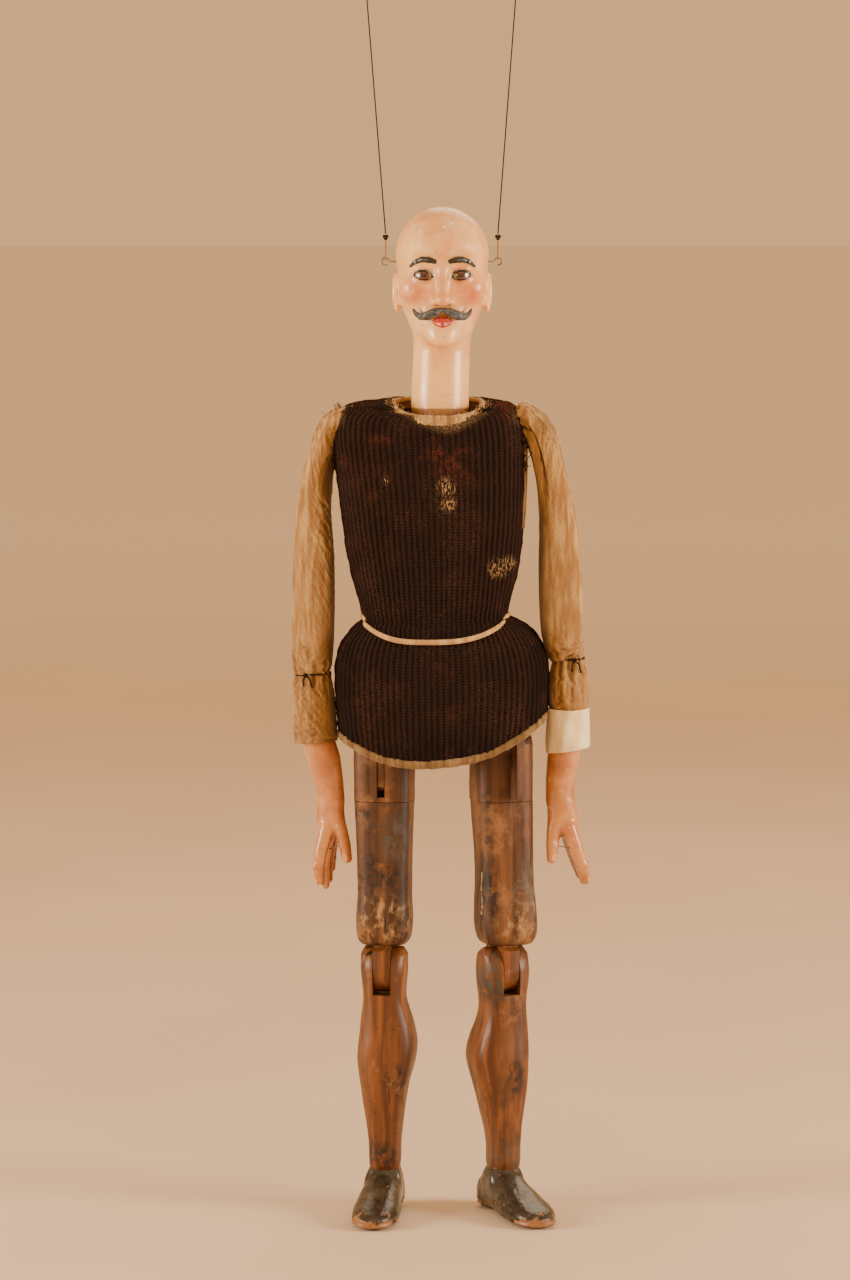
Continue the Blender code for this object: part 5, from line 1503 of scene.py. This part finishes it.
SLEEVE = {
    # (height above the soles, x, y, half width, half depth), from the shoulder seam to the wrist
    "right": [
        (0.5715, -0.059, 0, 0.0058, 0.015), (0.5715, -0.067, 0, 0.0068, 0.016),
        (0.567, -0.075, 0, 0.0074, 0.016), (0.557, -0.0815, 0, 0.0072, 0.0155),
        (0.545, -0.0853, 0, 0.0068, 0.0148), (0.533, -0.0882, 0, 0.0076, 0.0142),
        (0.5198, -0.09, 0, 0.0098, 0.014), (0.5056, -0.0904, 0, 0.0117, 0.0142),
        (0.4913, -0.0901, 0, 0.0129, 0.0145), (0.47, -0.0895, 0, 0.014, 0.0148),
        (0.44, -0.0897, 0, 0.0145, 0.015), (0.413, -0.09, 0, 0.0145, 0.015),
        (0.4005, -0.0903, 0, 0.0138, 0.0142), (0.3925, -0.0905, 0, 0.0126, 0.0128),
        (0.389, -0.0905, 0, 0.0121, 0.0122), (0.385, -0.0905, 0, 0.0128, 0.0128),
        (0.377, -0.0902, 0, 0.0142, 0.0142), (0.36, -0.0893, 0, 0.0149, 0.015),
        (0.3405, -0.0882, 0, 0.0151, 0.0152),
    ],
    "left": [
        (0.573, 0.054, 0, 0.0058, 0.015), (0.5725, 0.0605, 0, 0.007, 0.016),
        (0.5675, 0.0675, 0, 0.0082, 0.016), (0.5585, 0.0728, 0, 0.0086, 0.0158),
        (0.5465, 0.0764, 0, 0.0082, 0.0152), (0.5345, 0.079, 0, 0.0086, 0.0146),
        (0.523, 0.0812, 0, 0.0098, 0.0142), (0.512, 0.0827, 0, 0.0112, 0.0142),
        (0.4913, 0.0844, 0, 0.0134, 0.0146), (0.47, 0.085, 0, 0.0149, 0.0152),
        (0.4415, 0.0858, 0, 0.0155, 0.0155), (0.42, 0.0868, 0, 0.0149, 0.015),
        (0.409, 0.0885, 0, 0.0132, 0.0134), (0.403, 0.0903, 0, 0.0116, 0.0118),
        (0.3995, 0.0911, 0, 0.011, 0.0112), (0.3955, 0.0914, 0, 0.0118, 0.012),
        (0.388, 0.0916, 0, 0.0138, 0.0138), (0.376, 0.0916, 0, 0.0147, 0.0146),
        (0.366, 0.0916, 0, 0.0144, 0.0143), (0.36, 0.0916, 0, 0.0138, 0.0136),
        (0.35, 0.0916, 0, 0.0134, 0.0132),
    ],
}
SLEEVE_ROWS, SLEEVE_ROUND = 110, 72
CAP_END = 0.548
ELBOW_TOP = {"right": 0.404, "left": 0.414}
TIE = {"right": 0.389, "left": 0.3995}
PLEAT_SEED = {"right": 5, "left": 8}
CLOTH_FRAMES = 12
CLOTH_REACH = 0.0035
CUFF_TOP = 0.3668
CUFF_ROOM = 0.0138
CUFF_X = 0.0914
CLOTH_GAP = 0.0006


def sweep(sections, rows, count):
    """Rings square to a path in the front plane. Returns points as rows x count x 3, and the fine sections."""
    table = smooth_rows(sections, rows)
    tangent = np.column_stack([np.gradient(table[:, 1]), np.gradient(table[:, 0])])
    tangent /= np.linalg.norm(tangent, axis=1)[:, None]
    angle = np.linspace(0, 2 * math.pi, count, endpoint=False)
    points = []
    for (height, x, y, half_x, half_y), (tx, tz) in zip(table, tangent):
        px, py = superellipse(half_x, half_y, TORSO_POWER, angle)
        points.append(np.column_stack([x - px * tz, y + py, SOLE + height + px * tx]))
    return np.array(points), table


def pleats(side, table):
    """Gathers at the shoulder and the elbow, and long soft folds between."""
    rows, count = len(table), SLEEVE_ROUND
    angle = np.linspace(0, 2 * math.pi, count, endpoint=False)[None, :]
    height = table[:, 0][:, None]
    along = np.linspace(0, 1, rows)[:, None]
    random = np.random.default_rng(PLEAT_SEED[side])
    shoulder = np.clip((height - 0.5) / 0.04, 0, 1) * (1 - 0.4 * np.clip((height - 0.555) / 0.02, 0, 1))
    tie = np.exp(-(((height - TIE[side]) / 0.012) ** 2))
    fold = np.zeros((rows, count))
    for waves, size in ((3, 1.5), (5, 1.3), (9, 0.8)):
        drift = random.uniform(-3, 3) * along + random.uniform(0, 6.28)
        fold += size * shoulder * (np.abs(np.sin(angle * waves / 2 + drift)) - 0.6) * 2
    for waves, size in ((11, 0.55), (17, 0.3)):
        drift = random.uniform(0, 6.28) + 0.8 * np.sin(along * 30)
        fold += size * tie * np.sin(angle * waves + drift)
    for waves, size in ((1, 0.5), (2, 0.45), (3, 0.25)):
        drift = random.uniform(0, 6.28) + random.uniform(2, 5) * along
        fold += size * np.sin(angle * waves + drift) * (1 - tie)
    return fold * MM


def drape(name, points, filling, pinned, flip):
    """A short cloth simulation over the stuffing. Returns where the points come to rest."""
    rows, count, _ = points.shape
    faces = grid_faces(rows, count, flip=flip)
    cloth = build(f"{name}_cloth", points.reshape(-1, 3), faces, bpy.data.materials[0])
    stuffing = build(f"{name}_stuffing", filling.reshape(-1, 3), faces, bpy.data.materials[0])
    hold = cloth.vertex_groups.new(name="hold")
    for row in pinned:
        hold.add(list(range(row * count, (row + 1) * count)), 1.0, "REPLACE")
    stuffing.modifiers.new("collision", "COLLISION")
    stuffing.collision.thickness_outer = CLOTH_GAP
    stuffing.collision.cloth_friction = 20.0
    modifier = cloth.modifiers.new("cloth", "CLOTH")
    settings = modifier.settings
    settings.quality = 5
    settings.mass = 0.12
    settings.tension_stiffness = 12
    settings.compression_stiffness = 6
    settings.shear_stiffness = 4
    settings.bending_stiffness = 0.15
    settings.shrink_min = -0.04
    settings.vertex_group_mass = "hold"
    settings.effector_weights.gravity = 0.6
    modifier.collision_settings.distance_min = CLOTH_GAP
    modifier.collision_settings.use_self_collision = False
    scene = bpy.context.scene
    for frame_number in range(1, CLOTH_FRAMES + 1):
        scene.frame_set(frame_number)
    graph = bpy.context.evaluated_depsgraph_get()
    moved = np.empty(len(cloth.data.vertices) * 3)
    cloth.evaluated_get(graph).data.vertices.foreach_get("co", moved)
    scene.frame_set(1)
    for obj in (cloth, stuffing):
        bpy.data.objects.remove(obj)
    shift = moved.reshape(points.shape) - points
    length = np.linalg.norm(shift, axis=2, keepdims=True)
    return points + shift * np.minimum(1.0, CLOTH_REACH / np.maximum(length, 1e-9))


def finer(points):
    """A grid of points with a smooth new point between each two, round and along."""
    for axis, wrap in ((1, True), (0, False)):
        grid = np.moveaxis(points, axis, 0)
        if wrap:
            before, after = np.roll(grid, 1, 0), np.roll(grid, -1, 0)
            after2 = np.roll(grid, -2, 0)
        else:
            before = np.concatenate([grid[:1], grid[:-1]])
            after = np.concatenate([grid[1:], grid[-1:]])
            after2 = np.concatenate([grid[2:], grid[-1:], grid[-1:]])
        middle = (9 * (grid + after) - before - after2) / 16
        woven = np.empty((2 * len(grid), *grid.shape[1:]))
        woven[0::2], woven[1::2] = grid, middle
        points = np.moveaxis(woven if wrap else woven[:-1], 0, axis)
    return points


def sleeve_piece(name, points, normals, distance, fold, flip, rows, material):
    """Part of a sleeve, between two rows of its grid."""
    first, last = rows
    part = points[first : last + 1]
    count = part.shape[1]
    obj = build(name, part.reshape(-1, 3), grid_faces(len(part), count, flip=flip), material)
    around = np.tile(np.arange(count) / count * 0.09, len(part))
    set_uv(obj, around, np.repeat(distance[first : last + 1], count), 0.09)
    set_attribute(obj, "fold", fold[first : last + 1].ravel())
    obj.data.normals_split_custom_set_from_vertices(normals[first : last + 1].reshape(-1, 3).tolist())
    return obj


def stuffing_inside(points, heights, side):
    """The stuffing's surface: a little inside the sleeve, and well inside it at the tie and under the cuff."""
    scale = 0.89 - 0.15 * np.exp(-(((heights - TIE[side]) / 0.012) ** 2))
    if side == "left":
        scale = scale - 0.14 * np.clip((0.374 - heights) / 0.006, 0, 1)
    centre = points.mean(1, keepdims=True)
    return centre + (points - centre) * scale[:, None, None]


def tucked(points, heights):
    """The sleeve's end, drawn in so that it stays inside the cuff."""
    centre = points.mean(1, keepdims=True)
    away = np.linalg.norm(points - centre, axis=2, keepdims=True)
    room = np.where(heights < CUFF_TOP, CUFF_ROOM, 1.0)[:, None, None]
    return centre + (points - centre) * np.minimum(1.0, room / away)


def make_sleeve(side, cloth):
    """One calico sleeve from the shoulder seam to the wrist, draped, then parted at the joints."""
    rough, table = sweep(SLEEVE[side], SLEEVE_ROWS, SLEEVE_ROUND)
    filling = stuffing_inside(rough, table[:, 0], side)
    normal = grid_normals(rough)
    outward = np.sign(np.einsum("ijk,ijk->", normal, rough - rough.mean(1, keepdims=True)))
    folds = pleats(side, table)
    points = rough + normal * outward * folds[:, :, None]
    heights = table[:, 0]
    tie_row = int(np.argmin(np.abs(heights - TIE[side])))
    flip = bool(outward < 0)
    points = drape(side, points, filling, [0, 1, tie_row, SLEEVE_ROWS - 2, SLEEVE_ROWS - 1], flip)
    if side == "left":
        points = tucked(points, heights)
    end = points[-1] + (points[-1].mean(0) - points[-1]) * 0.1
    points = finer(np.concatenate([points, end[None]]))
    normals = grid_normals(points) * outward
    centre = points.mean(1, keepdims=True)
    radius = np.linalg.norm(points - centre, axis=2)
    smooth = sum(np.roll(radius, k, 1) for k in range(-7, 8)) / 15
    # Painted shade: the fold value falls in the folds' hollows and on the inner side that faces the body, and
    # the cloth is darkened there.
    inner = np.clip((centre[:, :, 0] - points[:, :, 0]) * SIDES[side] / radius, 0, 1)
    fold = np.clip((radius - smooth) / 0.0006 - 1.05 * inner, -1, 1)
    middle = centre[:, 0]
    distance = np.concatenate([[0], np.cumsum(np.linalg.norm(np.diff(middle, axis=0), axis=1))])
    rows = len(points)
    level = middle[:, 2] - SOLE
    cap = int(np.argmax(level < CAP_END))
    elbow = int(np.argmax(level < ELBOW_TOP[side]))
    share = (points, normals, distance, fold, flip)
    top = sleeve_piece(f"{side}_sleeve_cap", *share, (0, cap), cloth)
    upper = sleeve_piece(f"{side}_sleeve_upper", *share, (cap, elbow), cloth)
    lower = sleeve_piece(f"{side}_sleeve_lower", *share, (elbow, rows - 1), cloth)
    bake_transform(top)
    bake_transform(upper)
    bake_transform(lower)
    finish_piece(upper, f"{side}_upper_sleeve")
    finish_piece(lower, f"{side}_lower_sleeve")


def make_tie(side, dark):
    """Two turns of dark thread round the elbow, with a knot and its ends."""
    sections = np.array(SLEEVE[side])
    row = sections[np.argmin(np.abs(sections[:, 0] - TIE[side]))]
    centre = Vector((row[1], 0, SOLE + row[0]))
    points = []
    for t in np.linspace(0, 2, 120):
        a = 2 * math.pi * t
        reach = 0.0002 * math.sin(5 * a) + 0.0006
        points.append(centre + Vector(((row[3] + reach) * math.cos(a), (row[4] + reach) * math.sin(a),
                                       0.0011 * (t - 1) + 0.0006 * math.sin(a * 1.5))))
    out = SIDES[side]
    knot = centre + Vector((out * 0.4 * row[3], -0.93 * row[4] - 0.0012, 0))
    tails = [[knot, knot + Vector((0.003, -0.0015, -0.003)), knot + Vector((0.0045, -0.001, -0.009))],
             [knot, knot + Vector((-0.002, -0.0015, -0.004)), knot + Vector((-0.0015, -0.0012, -0.008))]]
    curve = tube(f"{side}_tied_thread", points, 0.00055, dark)
    for tail in tails:
        add_run(curve.data, tail)
    ride(curve, f"{side}_upper_arm", f"{side}_elbow_tie")
    ride(make_knot(f"{side}_tie_knot", knot, 0.0016, dark), f"{side}_upper_arm", slot=f"{side}_elbow_tie")


def make_cuff(cotton):
    """The white cuff: a starched strip wrapped once round the wrist, overlapping in front."""
    rows, count = 26, 150
    overlap = 0.5
    start = -math.pi / 2 - 0.25
    outer, inner = [], []
    for t in np.linspace(0, 1, rows):
        ring_out, ring_in = [], []
        for i in range(count):
            a = start + (2 * math.pi + overlap) * i / (count - 1)
            lift = 0.0007 * i / (count - 1)
            slant = 0.0022 * math.cos(a)
            height = 0.3345 + slant * (1 - t) + t * (0.0295 - 0.0004 * math.sin(3 * a))
            wave = 0.0003 * math.sin(4 * a + 6 * t) + 0.0002 * math.sin(9 * a - 4 * t)
            reach = 0.0153 + lift + wave - 0.0003 * t
            for ring, r in ((ring_out, reach), (ring_in, reach - 0.0006)):
                ring.append((CUFF_X + r * math.cos(a), r * 0.97 * math.sin(a), SOLE + height))
        outer.append(ring_out)
        inner.append(ring_in)
    strip = np.array(outer + inner[::-1]).reshape(-1, 3)
    faces = [tuple(v % len(strip) for v in face) for face in grid_faces(2 * rows + 1, count, around=False)]
    end = [r * count for r in range(2 * rows)]
    faces += [tuple(end), tuple(v + count - 1 for v in reversed(end))]
    cuff = build("white_cuff", strip, faces, cotton, sharp=60)
    u = np.tile(np.linspace(0, 0.1, count), 2 * rows)
    v = np.repeat(np.concatenate([np.linspace(0, 0.03, rows), np.linspace(0.03, 0, rows)]), count)
    set_uv(cuff, u, v, NO_WRAP)
    set_attribute(cuff, "fold", np.zeros(2 * rows * count))
    ride(cuff, "left_forearm", "left_cuff")


# ---- shoes ----

SHOE = [
    # (y from the ankle, half width, top height, sole lift), heel to toe
    (0.0232, 0.006, 0.009, 0.0004), (0.022, 0.0098, 0.0165, 0.0), (0.0172, 0.0122, 0.0243, 0.0),
    (0.0122, 0.0128, 0.0272, 0.0), (0.008, 0.013, 0.0346, 0.0), (0.004, 0.0132, 0.0371, 0.0011),
    (0.0, 0.0133, 0.0379, 0.0016), (-0.004, 0.0136, 0.0371, 0.0016), (-0.008, 0.014, 0.0346, 0.0014),
    (-0.012, 0.0143, 0.0285, 0.0011), (-0.018, 0.0148, 0.0256, 0.0006), (-0.027, 0.0157, 0.0224, 0.0),
    (-0.038, 0.0165, 0.0186, 0.0), (-0.049, 0.0164, 0.0156, 0.0), (-0.058, 0.0148, 0.0133, 0.0004),
    (-0.065, 0.0113, 0.011, 0.001), (-0.069, 0.0066, 0.0084, 0.0018), (-0.0702, 0.0026, 0.0062, 0.0026),
]
WELT = 0.0042


def shoe_row(y, half, top, lift, count):
    """One upright ring across the shoe, with the welt standing a little proud above the sole."""
    angle = even_angles(half, top / 2, 2.9, count)
    px, py = superellipse(1.0, 1.0, 2.9, angle)
    middle = top * 0.42
    up = np.where(py > 0, middle + py * (top - middle), middle + py * (middle - lift))
    groove = np.exp(-(((up - WELT - 0.0012) / 0.0007) ** 2)) * 0.00055
    welt = np.clip((WELT - up) / 0.0006, 0, 1) * 0.00045
    narrow = half - (np.clip((up - middle) / (top - middle), 0, 1) ** 2) * 0.0004
    wide = px * (narrow + (welt - groove) * np.abs(px))
    return np.column_stack([wide, np.full(count, y), up])


def make_shoe(side, paint):
    """A carved low shoe: heel, arch, welt and a worn rounded toe."""
    rows, count = 110, 110
    table = smooth_rows(SHOE, rows)
    points = np.array([shoe_row(y, half, top, max(lift, 0.0), count) for y, half, top, lift in table])
    flat = points.reshape(-1, 3)
    normal = grid_normals(points)
    dents = 0.00028 * ripple(flat, 70.0, 41 + len(side)) + 0.00014 * ripple(flat, 190.0, 42)
    ends = np.clip(np.minimum(np.arange(rows), np.arange(rows)[::-1]) / 5.0, 0, 1)[:, None, None]
    outward = np.sign(np.einsum("ijk,ijk->", normal, points - points.mean(1, keepdims=True)))
    points = points + normal * outward * dents.reshape(rows, count, 1) * ends
    points[:, :, 2] = np.maximum(points[:, :, 2], 0.0)
    flat = points.reshape(-1, 3)
    ankle = JOINTS[f"{side}_ankle"]
    place = Matrix.Translation((ankle.x, ankle.y, SOLE)) @ Matrix.Rotation(LEG_YAW[side], 4, "Z")
    shoe = build(f"{side}_carved_shoe", flat, grid_faces(rows, count) + cap_faces(rows, count), paint)
    set_attribute(shoe, "edge", np.clip(1 - np.abs(flat[:, 2] - WELT) / 0.004, 0, 1))
    toe = np.clip((-flat[:, 1] - 0.052) / 0.016, 0, 1)
    collar = np.clip((flat[:, 2] - 0.0275) / 0.006, 0, 1)
    set_attribute(shoe, "rub", np.maximum(toe, collar))
    shoe.matrix_world = place
    cut(shoe, box_between((-ANKLE_SLOT / 2, -0.01, ANKLE_H - 0.0097), (ANKLE_SLOT / 2, 0.01, 0.06), place),
        bore(side, ANKLE_H, PIN_BORE, THROUGH))
    settle(shoe)
    ride(shoe, f"{side}_foot", f"{side}_shoe")


def shoe_material():
    """Dark glossy paint, rubbed through to brown wood at the edges and the toe."""
    p = Paint("shoe_paint", roughness=0.36, Coat_Weight=0.2, Coat_Roughness=0.3)
    tone = p.noise(70.0, 5.0, None, 0.62)
    paint = p.mix(p.ramp(tone, 0.3, 0.7), (22, 20, 18), (56, 50, 42))
    grain = p.noise(420.0, 4.0, p.scaled(1.0, 0.12, 1.0), 0.6)
    wood = p.mix(grain, (92, 56, 28), (170, 112, 60))
    wear = p.plus(p.both(p.attribute("edge"), 0.2), p.both(p.attribute("rub"), 0.16))
    field = p.plus(p.noise(95.0, 7.0, None, 0.68), wear)
    rubbed = p.ramp(field, 0.665, 0.7)
    colour = p.mix(rubbed, paint, wood)
    scratch = p.ramp(p.noise(520.0, 3.0, p.scaled(1.0, 0.2, 1.0), 0.6), 0.63, 0.68)
    colour = p.mix(p.both(scratch, 0.6), colour, (138, 100, 62))
    dust = p.ramp(p.noise(40.0, 5.0), 0.52, 0.75)
    colour = p.mix(p.both(dust, 0.3), colour, (110, 88, 60))
    height = p.less(p.both(tone, 0.5), rubbed)
    rough = p.plus(p.ramp(p.noise(60.0, 4.0), -0.7, 2.6), p.both(rubbed, 0.25))
    return p.finish(colour, p.bump(height, 0.5, 0.0005), rough)


# ---- threads and linings ----


def fuzz(name, roots, aims, length, radius, material, seed):
    """Many short loose threads as one piece, each curling away from its root."""
    random = np.random.default_rng(seed)
    curve = None
    for root, aim in zip(roots, aims):
        aim = np.array(aim) + random.normal(size=3) * 0.45
        aim /= np.linalg.norm(aim)
        curl = random.normal(size=3)
        reach = length * random.uniform(0.45, 1.2)
        points = [root + aim * reach * t + curl * reach * 0.35 * t * t for t in (0.0, 0.3, 0.6, 1.0)]
        if curve is None:
            curve = tube(name, points, radius, material, resolution=1)
        else:
            add_run(curve.data, points)
    return curve


def make_collar(points, cream, dark, cloth):
    """The frayed binding at the neck: a rolled edge, and loose threads."""
    edge = points[-1]
    count = len(edge)
    out = rim_directions(edge)
    wobble = 0.0004 * ripple(edge, 120.0, 71) + 0.0003 * ripple(edge, 420.0, 72)
    front = np.clip(-edge[:, 1] / 0.02, 0, 1)
    rows = []
    for angle in np.linspace(0, 2 * math.pi, 12, endpoint=False):
        reach = (0.0018 + 0.0022 * front) * math.cos(angle) + 0.0014 * front + wobble
        ring = edge + out * reach[:, None]
        ring[:, 2] += (0.0017 + 0.002 * front) * math.sin(angle) + wobble * 0.8 - 0.0012 * front
        rows.append(ring)
    around = np.arange(count) / count * 0.2
    rows = np.array(rows)
    rows += out * (0.0004 * ripple(rows.reshape(-1, 3), 300.0, 76)).reshape(len(rows), count, 1)
    band = build("neck_binding", rows.reshape(-1, 3), band_faces(len(rows), count), cloth)
    set_uv(band, np.tile(around, len(rows)), np.repeat(np.arange(len(rows)) * 0.0009, count), 0.2)
    # Painted shade in the dents of the rolled edge, through the fold value.
    set_attribute(band, "fold", np.tile(np.clip(wobble / 0.0004, -1, 1), len(rows)))
    ride(band, "chest", "collar_binding")
    pick = np.arange(0, count, 2)
    aims = -out[pick] * 0.6 + np.array([0, 0, 0.5])
    ride(fuzz("collar_threads", edge[pick] - out[pick] * 0.001, aims, 0.0035, 0.00014, cream, 73), "chest",
         slot="collar_binding")
    outer = edge[pick] + out[pick] * 0.0035 - np.array([0, 0, 0.0006])
    ride(fuzz("collar_frays", outer, out[pick] + np.array([0, -0.2, 0.3]), 0.003, 0.00016, cream, 74), "chest",
         slot="collar_binding")
    tufts = [((-0.073, -0.006), 90, dark), ((-0.039, -0.018), 60, dark), ((0.06, -0.01), 80, dark),
             ((-0.074, 0.004), 36, cream), ((0.059, 0.004), 36, cream), ((0.03, -0.02), 40, dark)]
    random = np.random.default_rng(75)
    flat = points[-40:].reshape(-1, 3)
    for i, ((x, y), number, paint) in enumerate(tufts):
        near = flat[np.argsort(np.hypot(flat[:, 0] - x, flat[:, 1] - y))[:260]]
        roots = near[random.choice(len(near), number)]
        aims = [(0.3 * np.sign(x), -0.2, 1.0)] * number
        tuft = fuzz(f"shoulder_tuft_{i}", roots, aims, 0.005, 0.00028, paint, 80 + i)
        ride(tuft, "chest", slot="jersey_upper")


BLOCK_FOOT, BLOCK_TOP = 0.448, 0.556


def make_inside(points, cloth, wood):
    """What the collar shows inside: the calico's edge all round, and the top of the hollowed chest block."""
    inner = (points - grid_normals(points) * 0.0016)[:, ::3]
    inner = inner[inner[:, 0, 2] > SOLE + 0.437]
    count = inner.shape[1]
    lip = inner[-1] + (inner[-1].mean(0) - inner[-1]) * 0.025
    fall = lip - np.array([0, 0, 0.005])
    wall = np.concatenate([inner, lip[None], fall[None]])
    # The lining takes the darkened calico: painted shade inside the collar opening.
    lining = build("calico_inside", wall.reshape(-1, 3), grid_faces(len(wall), count), cloth)
    ride(lining, "chest", "calico_cover")
    rows = body_grid([row for row in CHEST if 0.43 < row[0] < 0.57], 60, 120)
    core = rows[(rows[:, 0, 2] > SOLE + BLOCK_FOOT) & (rows[:, 0, 2] < SOLE + BLOCK_TOP)]
    centre = core.mean(1, keepdims=True)
    core = centre + (core - centre) * (0.93, 0.9, 1.0)
    core = core + 0.0003 * ripple(core.reshape(-1, 3), 60.0, 91).reshape(*core.shape[:2], 1)
    faces = grid_faces(len(core), 120) + cap_faces(len(core), 120)
    block = build("carved_chest_block", core.reshape(-1, 3), faces, wood, sharp=40)
    ride(block, "chest", "chest_block")


def make_side_lining(points, cloth):
    """The calico that shows at the jersey's open left side, as a narrow frayed strip."""
    rows, count, _ = points.shape
    heights = points[:, 0, 2] - SOLE
    picked = np.where((heights > 0.492) & (heights < 0.56))[0]
    angles = np.arctan2(points[:, :, 1], points[:, :, 0] + 0.005)
    strip = []
    steps = np.radians(np.linspace(-9, 12, 9))
    for n, r in enumerate(picked):
        order = np.argsort(angles[r])
        ring = points[r][order]
        sharp = angles[r][order]
        row = []
        for j, a in enumerate(steps):
            base = np.array([np.interp(a, sharp, ring[:, k]) for k in range(3)])
            proud = 0.0006 + 0.0006 * math.sin(j / 8 * math.pi)
            proud += 0.0003 * math.sin(n * 0.55 + j) * (j in (0, 8))
            row.append(base + np.array([math.cos(a), math.sin(a), 0]) * proud)
        strip.append(row)
    grid = np.array(strip)
    obj = build("side_lining", grid.reshape(-1, 3), grid_faces(len(grid), 9, around=False), cloth)
    solid = obj.modifiers.new("solid", "SOLIDIFY")
    solid.thickness = 0.0007
    u, v = np.arange(9) * 0.003, np.arange(len(grid)) * 0.0012
    set_uv(obj, np.tile(u, len(grid)), np.repeat(v, 9), NO_WRAP)
    set_attribute(obj, "fold", np.zeros(grid.shape[0] * 9))
    bpy.context.view_layer.update()
    apply_modifiers(obj)
    ride(obj, "chest", slot="calico_cover")


# ---- stage ----


ROOM_TONE = (0.94, 0.5, 0.205, 1.0)
LIGHT_TONE = (1.0, 0.88, 0.7)
AIM = Vector((0, 0, SOLE + 0.4))


def make_stage():
    """A pale floor that runs out to the tan of the room, and soft light from both sides."""
    p = Paint("studio_floor", roughness=0.95, Specular_IOR_Level=0.1)
    x, y, _ = p.split()
    far = p.math("SQRT", p.plus(p.both(x, x), p.both(y, y)))
    near = p.mix(p.ramp(p.noise(3.0, 2.0), 0.3, 0.7), (222, 202, 178), (227, 208, 185))
    tone = p.mix(p.ramp(far, 0.8, 7.0), near, (243, 243, 243))
    edge = [-80.0, -6.0, 6.0, 80.0]
    points = [(x, y, SOLE - 0.0002) for x in edge for y in edge]
    corners = [4 * i + j for i in range(3) for j in range(3)]
    faces = [(c, c + 4, c + 5, c + 1) for c in corners]
    build("studio_floor", points, faces, p.finish(tone))
    world = bpy.data.worlds.new("studio")
    world.use_nodes = True
    background = world.node_tree.nodes["Background"]
    background.inputs["Color"].default_value = ROOM_TONE
    background.inputs["Strength"].default_value = 1.0
    bpy.context.scene.world = world
    lights = [
        ("key_left", (-2.05, -0.75, SOLE + 0.75), 58.0, 0.9),
        ("key_right", (2.15, -0.7, SOLE + 0.8), 66.0, 0.9),
        ("top", (0.0, -1.5, SOLE + 2.0), 6.0, 2.0),
        ("back", (0.3, 1.7, SOLE + 1.8), 10.0, 1.2),
    ]
    for name, place, power, size in lights:
        data = bpy.data.lights.new(name, "AREA")
        data.energy = power
        data.size = size
        data.color = LIGHT_TONE
        light = add_object(name, data)
        light.location = place
        aim = AIM - Vector(place)
        light.rotation_euler = aim.to_track_quat("-Z", "Y").to_euler()


# ---- everything ----


def main():
    """Builds everything: the camera and cords first."""
    make_camera()
    dark_string = string_material("dark_string", (74, 62, 50), (30, 24, 20))
    pale_string = string_material("pale_string", (196, 166, 124), (120, 92, 60))
    make_strings(dark_string, pale_string)
    make_stage()
    knit = knit_material("rib_knit")
    tape = cloth_material("tape_cloth", (214, 180, 126), (176, 138, 86), 2400.0)
    hem = cloth_material("hem_cloth", (150, 122, 82), (112, 84, 50), 2400.0, (70, 48, 28))
    chest_points = make_chest(knit)
    make_pelvis(knit, hem)
    make_tape(chest_points[0], tape)
    thigh_wood = wood_material("thigh_wood", (112, 70, 36), (56, 32, 17), (34, 24, 20), 0.5, marked=True)
    shin_wood = wood_material("shin_wood", (132, 80, 38), (78, 43, 21), (50, 31, 21), 0.4, marked=True)
    tongue_wood = wood_material("tongue_wood", (116, 70, 36), (66, 38, 19), (44, 30, 22), 0.5)
    iron = metal_material("iron_wire", (150, 144, 134))
    calico = cloth_material("calico", (188, 152, 98), (144, 104, 60), dirt_and_shade_tone=(62, 44, 27))
    cotton = cloth_material("white_cotton", (255, 242, 200), (242, 218, 170), 1900.0, (176, 142, 94))
    cream = string_material("cream_thread", (212, 182, 138), (160, 124, 80))
    black = string_material("black_thread", (40, 28, 26), (16, 12, 12))
    make_collar(chest_points, cream, black, tape)
    make_side_lining(chest_points, calico)
    make_head(head_material(), eye_material())
    hand_paint, leather = hand_material(), shoe_material()
    for side in SIDES:
        make_leg(side, thigh_wood, shin_wood, tongue_wood, iron)
        make_sleeve(side, calico)
        make_tie(side, black)
        make_hand(side, hand_paint, iron)
        make_shoe(side, leather)
    make_cuff(cotton)
    make_inside(chest_points, shaded_lining_material(), tongue_wood)
    repaint("pelvis_block", tongue_wood)
    metal = ["neck_swivel", "neck_staple", "waist_staple", "waist_swivel", "right_screw_eye", "left_hook",
             "left_thigh_wire"]
    metal += [f"{side}_{part}" for side in SIDES for part in ("shoulder_staple", "shoulder_link")]
    for node in metal:
        repaint(node, iron)


main()
